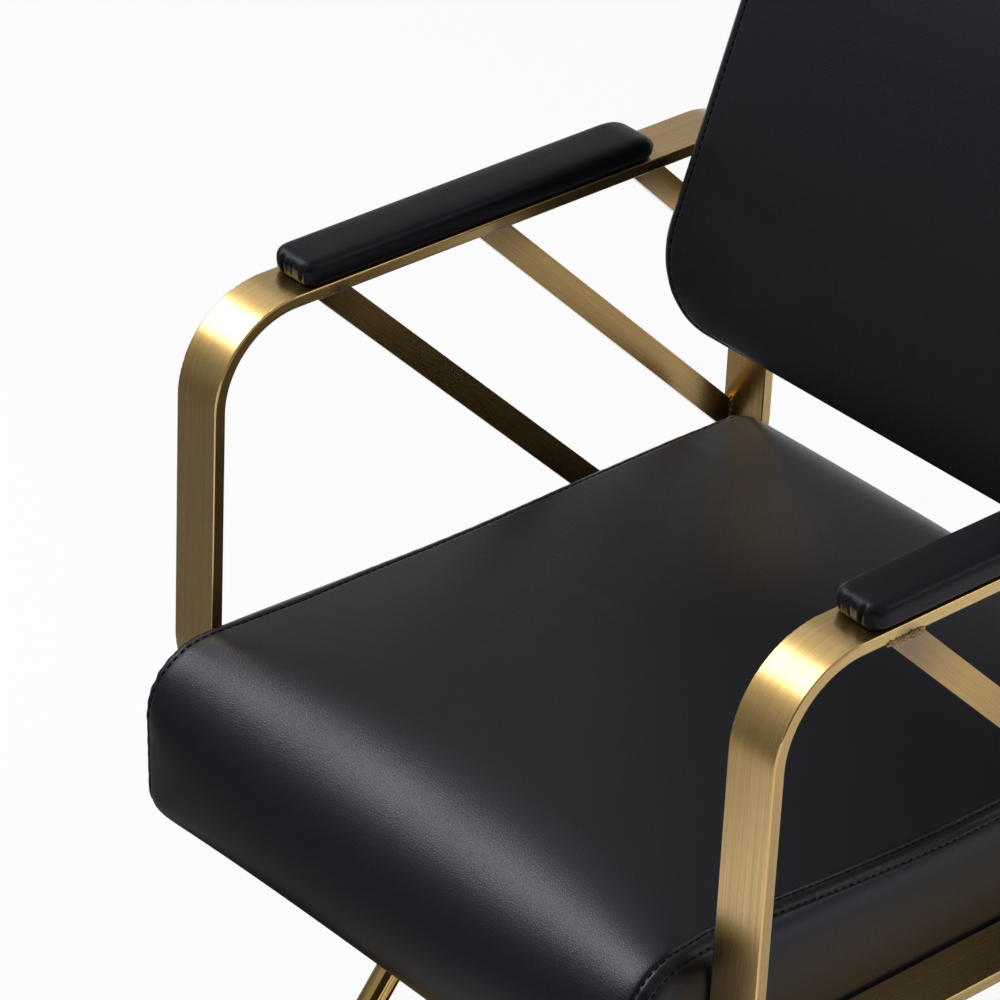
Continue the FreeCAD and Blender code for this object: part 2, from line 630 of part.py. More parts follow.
for angle in bolt_angles:
    x = BASE_BOLT_R * math.cos(math.radians(angle))
    y = BASE_BOLT_R * math.sin(math.radians(angle))
    top = Vector(x, y, bolt_head_z)
    base_bolts.append(bolt(top, Vector(0, 0, -1), M8_HEAD_D, M8_HEAD_H, M8, FLANGE_T + BASE_WALL, 6))
    block = block.cut(rod((M8 + HOLE_CLEAR) / 2.0, top, Vector(0, 0, -1), M8_HEAD_H + FLANGE_T))
save("pump_block", block.removeSplitter())
save("lever_pin", pin)

# round foot: thin domed shell with a rubber ring under its rim
crown = [Vector(0, 0, BASE_CROWN_H), Vector(BASE_FLAT_R, 0, BASE_CROWN_H)]
edge = Vector(BASE_R, 0, BASE_RIM_H)
half_way = Vector((BASE_FLAT_R + BASE_R) / 2.0, 0, BASE_CROWN_H - BASE_SAG)
low_edge = Vector(BASE_R, 0, RING_H)
in_edge = Vector(BASE_R - BASE_WALL, 0, RING_H)
in_top = Vector(BASE_R - BASE_WALL, 0, BASE_RIM_H - BASE_RIM_IN)
in_half = half_way - Vector(0, 0, BASE_WALL)
in_flat = Vector(BASE_FLAT_R, 0, BASE_CROWN_H - BASE_WALL)
in_axis = Vector(0, 0, BASE_CROWN_H - BASE_WALL)
profile = Part.Wire([
    Part.makeLine(crown[0], crown[1]),
    Part.Arc(crown[1], half_way, edge).toShape(),
    Part.makeLine(edge, low_edge),
    Part.makeLine(low_edge, in_edge),
    Part.makeLine(in_edge, in_top),
    Part.Arc(in_top, in_half, in_flat).toShape(),
    Part.makeLine(in_flat, in_axis),
    Part.makeLine(in_axis, crown[0])])
shell = Part.Face(profile).revolve(ORIGIN, Z_AXIS, 360)
for angle in bolt_angles:
    x = BASE_BOLT_R * math.cos(math.radians(angle))
    y = BASE_BOLT_R * math.sin(math.radians(angle))
    shell = shell.cut(rod(M8 / 2.0, Vector(x, y, BASE_CROWN_H - BASE_WALL), Z_AXIS, BASE_WALL))
save("base_shell", shell)
save("base_bolts", Part.makeCompound(base_bolts))
rubber = rod(BASE_R, ORIGIN, Z_AXIS, RING_H)
rubber = rubber.cut(rod(BASE_R - RING_W, ORIGIN, Z_AXIS, RING_H))
save("base_ring", rubber)

# lever: eye on the pin, round bar rising to the rear, rubber pedal
rise = math.radians(LEVER_RISE)
front_reach = -tip(foot_solid).BoundBox.YMin + (CAP_D - FOOT_BAR_D) / 2.0
lever_len = (front_reach - PIVOT_Y - PEDAL_D / 2.0 * math.sin(rise)) / math.cos(rise) - PEDAL_TIP
pivot = Vector(0, PIVOT_Y, PIVOT_Z)
eye = rod(EYE_R, Vector(-LEVER_ROOT_T / 2.0, PIVOT_Y, PIVOT_Z), X_AXIS, LEVER_ROOT_T)
shank = rod(LEVER_D / 2.0, pivot, Y_AXIS, lever_len)
tongue = box(-LEVER_ROOT_T / 2.0, LEVER_ROOT_T / 2.0, PIVOT_Y, PIVOT_Y + TONGUE_L,
             PIVOT_Z - TONGUE_H / 2.0, PIVOT_Z + TONGUE_H / 2.0)
lever = eye.fuse(tongue).fuse(shank)
lever = lever.cut(rod(PIN_D / 2.0 + RUN_CLEAR, Vector(-pin_half, PIVOT_Y, PIVOT_Z), X_AXIS, 2 * pin_half))
pedal_y = PIVOT_Y + lever_len - PEDAL_L
pedal = rod(PEDAL_D / 2.0, Vector(0, pedal_y, PIVOT_Z), Y_AXIS, PEDAL_L + PEDAL_TIP)
pedal = pedal.makeFillet(PEDAL_EDGE_R, [pedal.Edges[0], pedal.Edges[2]])
pedal = pedal.cut(rod(LEVER_D / 2.0, Vector(0, pedal_y, PIVOT_Z), Y_AXIS, PEDAL_L))
for name, shape in (("pump_lever", lever.removeSplitter()), ("pedal_pad", pedal)):
    shape.rotate(pivot, X_AXIS, LEVER_RISE)
    save(name, shape)
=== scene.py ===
# %% [markdown]
# # Dressing a barber chair
# The chair arrives as a set of exact solids: two closed arm loops of flat bar, a thick seat, a back rest,
# a foot rest, a lift column and a round foot. The metal already has its real shape, so it only needs a
# finish. The upholstery arrives as plain lumps and has to be sewn again: that is most of this lesson.

# %% Load the frame
import bpy
import json
import math
import numpy as np
from mathutils import Matrix, Vector
from mathutils.bvhtree import BVHTree


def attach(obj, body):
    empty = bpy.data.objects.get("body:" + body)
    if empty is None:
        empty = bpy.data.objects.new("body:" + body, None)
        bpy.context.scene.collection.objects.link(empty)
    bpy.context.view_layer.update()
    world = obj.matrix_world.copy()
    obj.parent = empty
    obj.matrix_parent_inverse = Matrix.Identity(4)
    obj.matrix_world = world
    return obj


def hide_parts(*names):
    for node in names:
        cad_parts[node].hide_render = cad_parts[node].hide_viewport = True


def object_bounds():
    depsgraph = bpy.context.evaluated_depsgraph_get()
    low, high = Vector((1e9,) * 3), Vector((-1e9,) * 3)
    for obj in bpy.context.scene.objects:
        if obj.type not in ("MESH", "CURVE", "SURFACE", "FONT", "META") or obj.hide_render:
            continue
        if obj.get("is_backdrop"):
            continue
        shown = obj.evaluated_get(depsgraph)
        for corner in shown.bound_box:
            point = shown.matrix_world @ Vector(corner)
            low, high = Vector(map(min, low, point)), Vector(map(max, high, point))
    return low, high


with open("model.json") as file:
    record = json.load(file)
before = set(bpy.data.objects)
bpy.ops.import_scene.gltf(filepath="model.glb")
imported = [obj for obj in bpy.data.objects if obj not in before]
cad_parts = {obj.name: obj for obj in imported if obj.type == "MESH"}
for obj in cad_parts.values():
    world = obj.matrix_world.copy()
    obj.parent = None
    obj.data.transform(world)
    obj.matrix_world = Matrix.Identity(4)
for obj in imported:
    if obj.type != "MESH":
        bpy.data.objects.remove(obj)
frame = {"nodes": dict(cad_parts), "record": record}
cad_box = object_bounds()
scene = bpy.context.scene
print("nodes loaded:", len(frame["nodes"]), "box", [tuple(round(c, 3) for c in corner) for corner in cad_box])

# %% [markdown]
# ## The viewpoint
# A camera is a place, a direction and a lens. It could be aimed by hand at an empty, but here the place and
# the two directions are written as vectors, because the picture to match was taken with a long lens from the
# front, above and to the sitter's left, and a small error in any of them shows along the straight bars.

# %% Camera
CAMERA_PLACE = Vector((2.0736, -1.9862, 2.5056))
CAMERA_AHEAD = Vector((-0.6264, 0.5516, -0.5508)).normalized()
CAMERA_RIGHT = Vector((0.6605, 0.7508, 0.0008))
CAMERA_LENS = 191.39
CAMERA_SHIFT = (-0.003465, 0.00458)


def aimed(place, ahead, right):
    """A matrix that stands at a place and looks along a direction."""
    side = (right - ahead * right.dot(ahead)).normalized()
    above = side.cross(ahead)
    turn = Matrix((side, above, -ahead)).transposed().to_4x4()
    return Matrix.Translation(place) @ turn


camera = bpy.data.objects.new("camera", bpy.data.cameras.new("camera"))
camera.data.sensor_width = 36.0
camera.data.lens = CAMERA_LENS
camera.data.shift_x, camera.data.shift_y = CAMERA_SHIFT
camera.data.clip_end = 100.0
camera.matrix_world = aimed(CAMERA_PLACE, CAMERA_AHEAD, CAMERA_RIGHT)
scene.collection.objects.link(camera)
scene.camera = camera
scene.view_settings.view_transform = "Standard"
print("camera at", tuple(camera.location))

# %% [markdown]
# ## Nodes by hand
# Every finish below is a small tree of nodes. Blender can build them with a mouse; in a script a few helpers
# keep the lines short. The first places a node and wires it, the next ones do so for the kinds that come
# back most, and the last opens a node group: a piece of tree with named sockets that finishes can share.

# %% Node helpers
def place(tree, kind, wires=None, **settings):
    """One node. Its settings are attributes, and its wires are sockets or plain values by input."""
    node = tree.nodes.new(kind)
    for name, value in settings.items():
        setattr(node, name, value)
    for name, value in (wires or {}).items():
        if isinstance(value, bpy.types.NodeSocket):
            tree.links.new(value, node.inputs[name])
        else:
            node.inputs[name].default_value = value
    return node


def joined(kind, wires, **settings):
    """A node's results, in the tree of the sockets that are wired to it."""
    tree = next(value.id_data for value in wires.values() if isinstance(value, bpy.types.NodeSocket))
    return place(tree, kind, wires, **settings).outputs


def maths(operation, *values):
    return joined("ShaderNodeMath", dict(enumerate(values)), operation=operation)[0]


def vectors(operation, *values):
    """A Vector Math node's results: a vector first, and a plain Value."""
    return joined("ShaderNodeVectorMath", dict(enumerate(values)), operation=operation)


def axes(vector):
    return joined("ShaderNodeSeparateXYZ", {0: vector})


def noise(where, scale, detail, roughness=0.5):
    """Cloudy noise, as a value Fac and as a Color."""
    wires = {"Vector": where, "Scale": scale, "Detail": detail, "Roughness": roughness}
    return joined("ShaderNodeTexNoise", wires)


def ramp(value, low, high, to_low=0.0, to_high=1.0):
    """A value moved from one range to another, held at the ends."""
    return joined("ShaderNodeMapRange", {0: value, 1: low, 2: high, 3: to_low, 4: to_high})[0]


def tint(share, first, second):
    """A colour between two colours."""
    return joined("ShaderNodeMix", {0: share, 6: first, 7: second}, data_type="RGBA")[2]


def bare_tree(holder):
    """The emptied node tree of a material or a world."""
    holder.use_nodes = True
    holder.node_tree.nodes.clear()
    return holder.node_tree


def open_group(name, outputs, dial=None, start=0.0):
    """A new node group: a Vector goes in, with one optional number to dial, and plain values come out."""
    tree = bpy.data.node_groups.new(name, "ShaderNodeTree")
    tree.interface.new_socket("Vector", in_out="INPUT", socket_type="NodeSocketVector")
    if dial:
        tree.interface.new_socket(dial, in_out="INPUT", socket_type="NodeSocketFloat").default_value = start
    for label in outputs:
        tree.interface.new_socket(label, in_out="OUTPUT", socket_type="NodeSocketFloat")
    return tree, tree.nodes.new("NodeGroupInput").outputs, tree.nodes.new("NodeGroupOutput").inputs


print("node helpers ready")

# %% [markdown]
# ## A white studio
# The chair stands on a pale floor that runs on without an edge. A floor lit hard enough to turn white would
# also wash out the chair, so the floor shows its white by itself to the camera and to reflections, and keeps
# a share of real light, which is where the chair's shadow stays. The sky is white at the horizon, where it
# meets the floor, and greyer overhead, so that level surfaces keep their depth.

# %% Floor and sky
FLOOR_HALF = 30.0
FLOOR_LEVEL = 0.90
FLOOR_WHITE_SHARE = 0.88
SKY_HORIZON, SKY_OVERHEAD = 1.0, 0.42
SKY_BAND = (0.02, 0.16)


def grey(level):
    return (level, level, level, 1)


def matt(tree, colour):
    return place(tree, "ShaderNodeBsdfDiffuse", {"Color": colour}).outputs[0]


def seen_directly(tree):
    """1 for rays from the camera, from gloss or through glass, and 0 for soft light."""
    path = tree.nodes.new("ShaderNodeLightPath").outputs
    first = maths("MAXIMUM", path["Is Camera Ray"], path["Is Glossy Ray"])
    return maths("MAXIMUM", first, path["Is Transmission Ray"])


def mesh_of(name, points, faces):
    mesh = bpy.data.meshes.new(name)
    mesh.from_pydata([tuple(map(float, p)) for p in points], [], [tuple(map(int, f)) for f in faces])
    mesh.update()
    return mesh


def stage_panel(name, points, quads, shader_of):
    """A panel of the stage with its own plain material."""
    mesh = mesh_of(name, points, quads)
    paint = bpy.data.materials.new(name)
    tree = bare_tree(paint)
    place(tree, "ShaderNodeOutputMaterial", {"Surface": shader_of(tree)})
    mesh.materials.append(paint)
    panel = bpy.data.objects.new(name, mesh)
    scene.collection.objects.link(panel)
    panel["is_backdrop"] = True
    return panel


def floor_shader(tree):
    white = place(tree, "ShaderNodeEmission", {"Color": grey(1), "Strength": 1.0}).outputs[0]
    share = maths("MULTIPLY", seen_directly(tree), FLOOR_WHITE_SHARE)
    return joined("ShaderNodeMixShader", {0: share, 1: matt(tree, grey(FLOOR_LEVEL)), 2: white})[0]


def make_sky():
    world = bpy.data.worlds.new("studio_sky")
    tree = bare_tree(world)
    height = axes(tree.nodes.new("ShaderNodeTexCoord").outputs["Generated"])[2]
    level = ramp(height, *SKY_BAND, SKY_HORIZON, SKY_OVERHEAD)
    sky = place(tree, "ShaderNodeBackground", {"Color": grey(1), "Strength": level})
    place(tree, "ShaderNodeOutputWorld", {"Surface": sky.outputs[0]})
    scene.world = world


floor_corners = [(x * FLOOR_HALF, y * FLOOR_HALF, 0) for x, y in ((-1, -1), (1, -1), (1, 1), (-1, 1))]
stage_panel("studio_floor", floor_corners, [(0, 1, 2, 3)], floor_shader)
make_sky()
print("studio: floor", 2 * FLOOR_HALF, "m across, sky", SKY_HORIZON, "to", SKY_OVERHEAD)

# %% [markdown]
# ## Lamps and flags
# A soft box stands to the left, in front and above: its reflection is the broad sheen on the front roll of
# the seat and the bright band on each bend, and a wider, weaker box round it lets that sheen fade slowly. A
# small box behind to the right draws the edges, and one in front to the right fills the shadows. Metal and
# leather only look deep when they have something dark to mirror, so photographers hang cloths beside the set,
# called flags. A dark one lies on the floor to the left and is swept up at its far edge, and a black one
# hangs beside the camera. A grey one behind to the right is painted shadow: it puts the chair's own shadow on
# the floor into the reflections. A black one under the seat is painted shade there. Reflections alone see
# them, and they cast no shade.

# %% Lamps and flags
LAMP_TARGET = Vector((0, 0, 0.5))
LAMPS = {
    # direction from the chair, metres away, width, height, watts
    "key_box": ((-0.62, -0.31, 0.71), 2.6, 1.45, 1.25, 36.0),
    "halo_box": ((-0.63, 0.05, 0.775), 2.8, 2.1, 2.0, 5.0),
    "rim_box": ((0.55, 0.55, 0.62), 2.6, 0.7, 0.7, 4.5),
    "fill_box": ((0.75, -0.55, 0.45), 3.2, 1.6, 1.6, 8.0),
}
DARK_SHADE, MIDDLE_SHADE, PALE_SHADE, BLACK_SHADE = 0.17, 0.34, 0.86, 0.04
FLAG_STEPS = 14


def soft_box(name, direction, distance, width, height, power):
    """A rectangular lamp that looks at the middle of the chair."""
    lamp = bpy.data.lights.new(name, "AREA")
    lamp.shape, lamp.size, lamp.size_y, lamp.energy = "RECTANGLE", width, height, power
    box = bpy.data.objects.new(name, lamp)
    away = Vector(direction).normalized()
    box.matrix_world = aimed(LAMP_TARGET + away * distance, -away, Vector((1, 0.2, 0)))
    box.visible_camera = False
    scene.collection.objects.link(box)
    return box


def dark_cloth(tree):
    """Dark in front, and lighter towards the rear of the set and up the wall."""
    parts = axes(tree.nodes.new("ShaderNodeTexCoord").outputs["Object"])
    rear, up = ramp(parts[1], -0.65, -0.20), ramp(parts[2], 0.30, 0.80, 0.0, 0.8)
    return matt(tree, tint(maths("MAXIMUM", rear, up), grey(DARK_SHADE), grey(MIDDLE_SHADE)))


def plain_cloth(shade):
    return lambda tree: matt(tree, grey(shade))


FLAGS = {
    # cloth, first angle, then rows of distance, height and last angle
    "dark_flag": (dark_cloth, 160, [
        (0.42, 0.004, 246), (1.1, 0.004, 246), (1.9, 0.004, 246), (2.15, 0.06, 252), (2.25, 0.3, 262),
        (2.3, 1.3, 264),
    ]),
    # The grey flag is painted shadow: the chair's shadow on the floor, seen only in reflections.
    "floor_shadow_flag": (plain_cloth(PALE_SHADE), -5, [(0.34, 0.004, 105), (0.8, 0.004, 105), (1.15, 0.004, 105)]),
    # The black flag under the seat is painted shade there, seen only in reflections.
    "under_seat_shade_flag": (plain_cloth(BLACK_SHADE), 130, [(0.12, 0.008, 300), (0.55, 0.008, 300)]),
    "front_flag": (plain_cloth(BLACK_SHADE), 285, [
        (1.75, 0.40, 352), (1.75, 0.9, 350), (1.75, 1.4, 342), (1.75, 1.9, 325),
    ]),
}


def flag_cloth(start, sweep):
    """Points and quads of a cloth that covers part of a ring round the chair."""
    far, high, last = np.array(sweep).T
    angle = np.radians(start + np.linspace(0, 1, FLAG_STEPS)[:, None] * (last - start))
    points = np.stack([far * np.cos(angle), far * np.sin(angle), high + 0 * angle], -1).reshape(-1, 3)
    row = len(sweep)
    return points, [(k, k + 1, k + row + 1, k + row) for k in range(len(points) - row) if (k + 1) % row]


for name, lamp in LAMPS.items():
    soft_box(name, *lamp).visible_glossy = name != "fill_box"
for name, (cloth, start, sweep) in FLAGS.items():
    flag = stage_panel(name, *flag_cloth(start, sweep), cloth)
    flag.visible_camera = flag.visible_diffuse = flag.visible_shadow = flag.visible_transmission = False
    print(name, "of", len(flag.data.polygons), "panels")

# %% [markdown]
# ## Shared surface effects
# Three effects come back in several finishes. Hide grain is the fine pebble of leather, and it also serves as
# the skin of moulded rubber. Brushed lines are the long hair-fine scratches that a belt leaves on metal:
# noise stretched along one direction. Handling is the slow, cloudy change in gloss that every touched or
# wiped surface has. Each is a group that puts out plain values, and each finish decides what they drive.

# %% Hide grain
GRAIN_DRIFT_SCALE, GRAIN_DRIFT = 260.0, 0.0011
PORE_SCALE, PORE_SHARE = 2600.0, 0.22


def make_hide_grain():
    tree, given, out = open_group("hide_grain", ["Height", "Crease"], "Cells per metre", 800.0)
    where = given["Vector"]
    drift = noise(where, GRAIN_DRIFT_SCALE, 2.0)["Color"]
    moved = vectors("ADD", where, vectors("MULTIPLY", drift, (GRAIN_DRIFT,) * 3)[0])[0]
    wires = {"Vector": moved, "Scale": given["Cells per metre"]}
    pebble = joined("ShaderNodeTexVoronoi", wires, feature="DISTANCE_TO_EDGE")["Distance"]
    pore = noise(where, PORE_SCALE, 1.0)["Fac"]
    tree.links.new(maths("MULTIPLY_ADD", pore, PORE_SHARE, ramp(pebble, 0.0, 0.42)), out["Height"])
    tree.links.new(ramp(pebble, 0.0, 0.16, 1.0, 0.0), out["Crease"])
    return tree


hide_grain = make_hide_grain()
print("group", hide_grain.name)

# %% Brushed lines and handling
SPECK_SCALE = 420.0


def make_brushed_lines():
    tree, given, out = open_group("brushed_lines", ["Fine", "Broad"])
    where = given["Vector"]
    fine = noise(where, 1.0, 3.0, 0.65)["Fac"]
    broad = noise(vectors("MULTIPLY", where, (0.3, 0.3, 0.5))[0], 1.0, 2.0)["Fac"]
    tree.links.new(ramp(fine, 0.28, 0.72), out["Fine"])
    tree.links.new(ramp(broad, 0.3, 0.7), out["Broad"])
    return tree


def make_handling():
    tree, given, out = open_group("handling", ["Cloud", "Speck"], "Patches per metre", 14.0)
    cloud = noise(given["Vector"], given["Patches per metre"], 3.0)["Fac"]
    speck = noise(given["Vector"], SPECK_SCALE, 2.0)["Fac"]
    tree.links.new(ramp(cloud, 0.3, 0.7), out["Cloud"])
    tree.links.new(ramp(speck, 0.35, 0.75), out["Speck"])
    return tree


brushed_lines = make_brushed_lines()
handling = make_handling()
print("groups", brushed_lines.name, handling.name)

# %% [markdown]
# ## Starting a finish
# All finishes start in the same way: a fresh material, the object's own coordinates, so that the pattern
# travels with the piece when the chair turns, a Principled shader whose steady numbers are set directly, and
# some handling. They end in the same way too, with a colour, a roughness and a fine relief.

# %% Finish starter
def spaced(wires):
    """Socket names with spaces, from names that Python accepts."""
    return {name.replace("_", " "): value for name, value in wires.items()}


def effect(group, **wires):
    """A shared group placed in a finish."""
    return joined("ShaderNodeGroup", spaced(wires), node_tree=group)


def start_finish(name, patches, **steady):
    """A material, its object coordinates and its handling. Steady numbers go on the shader's sockets."""
    finish = bpy.data.materials.new(name)
    tree = bare_tree(finish)
    shader = place(tree, "ShaderNodeBsdfPrincipled", spaced(steady))
    place(tree, "ShaderNodeOutputMaterial", {"Surface": shader.outputs[0]})
    where = tree.nodes.new("ShaderNodeTexCoord").outputs["Object"]
    return finish, where, effect(handling, Vector=where, Patches_per_metre=patches)


def dressed(finish, colour, rough, height, strength, distance):
    """The finish with its colour, its roughness and a fine relief, which only bends the light."""
    tree = finish.node_tree
    bump = joined("ShaderNodeBump", {"Height": height, "Strength": strength, "Distance": distance})[0]
    for name, value in (("Base Color", colour), ("Roughness", rough), ("Normal", bump)):
        tree.links.new(value, tree.nodes["Principled BSDF"].inputs[name])
    return finish


print("finish starter ready")

# %% [markdown]
# ## Leather and thread
# The upholstery is a coated black hide: nearly black, a little blue, with a pebble of just under two
# millimetres and a half-matt gloss that breaks up over the grain. The thread is blacker and duller than the
# hide, so that a row of stitches reads as dark dashes. The arm pads are covered in a duller hide.

# %% Leather
LEATHER_DEEP = (0.0030, 0.0030, 0.0048, 1)
LEATHER_LIGHT = (0.0056, 0.0056, 0.0086, 1)
LEATHER_GLINT = (0.85, 0.87, 1.0, 1)
LEATHER_CELLS = 560.0
LEATHER_ROUGH, CREASE_ROUGH, WORN_ROUGH = 0.37, 0.12, -0.05
THREAD_DEEP = (0.0015, 0.0015, 0.002, 1)
THREAD_LIGHT = (0.004, 0.004, 0.005, 1)
LEATHER_RELIEF, THREAD_RELIEF = (0.30, 0.00020), (0.4, 0.0003)


def make_leather(name, glint):
    steady = {"Specular_IOR_Level": glint, "Specular_Tint": LEATHER_GLINT}
    finish, where, worn = start_finish(name, patches=9.0, **steady)
    grain = effect(hide_grain, Vector=where, Cells_per_metre=LEATHER_CELLS)
    # The grain's creases are painted darker, which is painted shade in the creases, over a cloudy tone that
    # varies from place to place.
    crease_shaded_tone = maths("MULTIPLY", maths("SUBTRACT", 1.0, grain["Crease"]), worn["Cloud"])
    gloss = maths("MULTIPLY_ADD", worn["Cloud"], WORN_ROUGH, LEATHER_ROUGH)
    rough = maths("MULTIPLY_ADD", grain["Crease"], CREASE_ROUGH, gloss)
    return dressed(finish, tint(crease_shaded_tone, LEATHER_DEEP, LEATHER_LIGHT), rough, grain["Height"], *LEATHER_RELIEF)


def make_thread():
    finish, _, worn = start_finish("black_thread", patches=60.0, Specular_IOR_Level=0.12)
    rough = ramp(worn["Speck"], 0.0, 1.0, 0.5, 0.7)
    colour = tint(worn["Cloud"], THREAD_DEEP, THREAD_LIGHT)
    return dressed(finish, colour, rough, worn["Speck"], *THREAD_RELIEF)


leather = make_leather("black_hide", 0.40)
pad_leather = make_leather("black_pad_hide", 0.20)
thread = make_thread()
print("finishes", leather.name, pad_leather.name, thread.name)

# %% [markdown]
# ## Gold
# The arm loops are flat bar in a brushed warm gold. The belt ran along the bar, so the lines follow it round
# the bends: for a point on the loop, the distance to the loop's rounded outline stays the same all along one
# line, and noise over that distance and over the bar's width gives lines that bend with the metal. The
# slanted bars get the same lines turned to their own slope, in a deeper tone that is painted shade, and the
# cross pieces behind the back a deeper one still, which is painted shade too. The foot rest, column and foot
# are polished.

# %% Brushed gold
SEAT_TILT = math.radians(3.0)
SEAT_RISE = 0.345
LOOP_MIDDLE = (0.0475, 0.197)
LOOP_HALF = (0.2595, 0.160)
LOOP_BEND = 0.068
BRACE_SLOPE = math.radians(44.0)
LINES_ACROSS, LINES_ALONG = 1050.0, 5.0
FAR_AWAY = 10.0


def leant(points, angle):
    """Points turned back about the cross axis."""
    points = np.asarray(points, float)
    across, deep, high = points[..., 0], points[..., 1], points[..., 2]
    cos, sin = math.cos(angle), math.sin(angle)
    return np.stack([across, deep * cos + high * sin, high * cos - deep * sin], -1)


def seat_to_room(points):
    """Points of the seat unit, which leans back a little, brought into the room."""
    return leant(points, SEAT_TILT) + np.array((0, 0, SEAT_RISE))


def levelled(where, turn):
    """Object coordinates taken from the loop's middle and turned about the seat's cross axis."""
    moved = vectors("SUBTRACT", where, tuple(seat_to_room((0.0,) + LOOP_MIDDLE)))[0]
    wires = {"Vector": moved, "Angle": turn}
    return joined("ShaderNodeVectorRotate", wires, rotation_type="X_AXIS")[0]


def line_space(first, second, along):
    """Coordinates that are packed across the lines and stretched along them."""
    close = [maths("MULTIPLY", value, LINES_ACROSS) for value in (first, second)]
    wires = {0: close[0], 1: close[1], 2: maths("MULTIPLY", along, LINES_ALONG)}
    return joined("ShaderNodeCombineXYZ", wires)[0]


def loop_lines(where):
    """Line coordinates that follow the rounded arm loop."""
    flat = levelled(where, SEAT_TILT)
    core = (FAR_AWAY, LOOP_HALF[0] - LOOP_BEND, LOOP_HALF[1] - LOOP_BEND)
    past = vectors("SUBTRACT", vectors("ABSOLUTE", flat)[0], core)[0]
    reach = vectors("LENGTH", vectors("MAXIMUM", past, (0, 0, 0))[0])["Value"]
    parts = axes(flat)
    return line_space(parts[0], reach, maths("SUBTRACT", parts[1], parts[2]))


def brace_lines(where):
    """Line coordinates along the slanted bars."""
    parts = axes(levelled(where, SEAT_TILT + BRACE_SLOPE))
    return line_space(parts[0], parts[2], parts[1])


def cross_lines(where):
    """Line coordinates from side to side."""
    parts = axes(levelled(where, SEAT_TILT))
    return line_space(parts[1], parts[2], parts[0])


print("lines per metre:", LINES_ACROSS, "across and", LINES_ALONG, "along")

# %% Painted weld shade and the brushed finishes
LOOP_INNER_TOP, LOOP_INNER_REAR, LOOP_INNER_LOW = 0.348, 0.298, 0.046
BRACE_TOPS = [-0.1085, 0.034, 0.1765]
REAR_LEG_ZONE = 0.06
LOOP_DEEP, LOOP_PALE = (0.490, 0.292, 0.064, 1), (0.725, 0.485, 0.172, 1)
# The braces and the cross pieces get the loops' gold in deeper tones, which is painted shade.
BRACE_SHADED_DEEP, BRACE_SHADED_PALE = (0.430, 0.245, 0.046, 1), (0.620, 0.385, 0.100, 1)
CROSS_SHADED_DEEP, CROSS_SHADED_PALE = (0.300, 0.172, 0.033, 1), (0.440, 0.272, 0.070, 1)
WELD_SHADE_BROWN = (0.100, 0.045, 0.010, 1)
LOOP_WELD_SHADE_REACH, BRACE_WELD_SHADE_REACH = 0.012, 0.075
FINE_SHARE = 0.8
BRUSHED_ROUGH, LINE_ROUGH, CLOUD_ROUGH = 0.30, -0.08, 0.05
BRUSHED_RELIEF = (0.05, 0.00012)


def brace_ends():
    """Middle of each welded end in the seat unit's frame, and whether it sits on the upright rear leg."""
    slope = math.tan(BRACE_SLOPE)
    for top in BRACE_TOPS:
        yield (top, LOOP_INNER_TOP, False)
        low = top + (LOOP_INNER_TOP - LOOP_INNER_LOW) / slope
        if low < LOOP_INNER_REAR - REAR_LEG_ZONE:
            yield (low, LOOP_INNER_LOW, False)
        else:
            yield (LOOP_INNER_REAR, LOOP_INNER_TOP - (LOOP_INNER_REAR - top) * slope, True)


def make_weld_shade():
    """How near a point of the arm is to a weld, where painted shade turns the gold brown."""
    tree, given, out = open_group("weld_shade", ["Heat"], "Reach", 0.05)
    flat = vectors("MULTIPLY", given["Vector"], (0, 1, 1))[0]
    nearest = 1.0
    for deep, high, _ in brace_ends():
        spot = (0, deep - LOOP_MIDDLE[0], high - LOOP_MIDDLE[1])
        nearest = maths("MINIMUM", vectors("DISTANCE", flat, spot)["Value"], nearest)
    share = maths("DIVIDE", nearest, given["Reach"])
    tree.links.new(ramp(share, 0.1, 1.0, 1.0, 0.0), out["Heat"])
    return tree


def make_brushed_gold(name, lines, deep, pale, weld_shade_reach=0.0):
    steady = {"Metallic": 1.0, "Coat_Weight": 1.0, "Coat_IOR": 1.65, "Coat_Roughness": 0.2}
    finish, where, worn = start_finish(name, patches=11.0, **steady)
    streak = effect(brushed_lines, Vector=lines(where))
    broad = maths("MULTIPLY", streak["Broad"], 1 - FINE_SHARE)
    colour = tint(maths("MULTIPLY_ADD", streak["Fine"], FINE_SHARE, broad), deep, pale)
    # Near the welds the colour turns brown: painted shade where the bars meet, made uneven by the handling
    # cloud.
    if weld_shade_reach:
        near_weld = effect(weld_shade, Vector=levelled(where, SEAT_TILT), Reach=weld_shade_reach)["Heat"]
        uneven_weld_shade = maths("MULTIPLY", near_weld, ramp(worn["Cloud"], 0.0, 1.0, 0.9, 0.55))
        colour = tint(uneven_weld_shade, colour, WELD_SHADE_BROWN)
    brushed = maths("MULTIPLY_ADD", streak["Fine"], LINE_ROUGH, BRUSHED_ROUGH)
    rough = maths("MULTIPLY_ADD", worn["Cloud"], CLOUD_ROUGH, brushed)
    return dressed(finish, colour, rough, streak["Fine"], *BRUSHED_RELIEF)


weld_shade = make_weld_shade()
loop_gold = make_brushed_gold("brushed_gold_loop", loop_lines, LOOP_DEEP, LOOP_PALE, LOOP_WELD_SHADE_REACH)
shaded_brace_gold = make_brushed_gold("brushed_gold_brace_shaded", brace_lines, BRACE_SHADED_DEEP, BRACE_SHADED_PALE, BRACE_WELD_SHADE_REACH)
shaded_cross_gold = make_brushed_gold("brushed_gold_cross_shaded", cross_lines, CROSS_SHADED_DEEP, CROSS_SHADED_PALE)
print("brushed finishes", loop_gold.name, shaded_brace_gold.name, shaded_cross_gold.name)

# %% Polished gold and plated steel
WIPED_SPECK = 0.03
WIPED_RELIEF = (0.05, 0.0006)


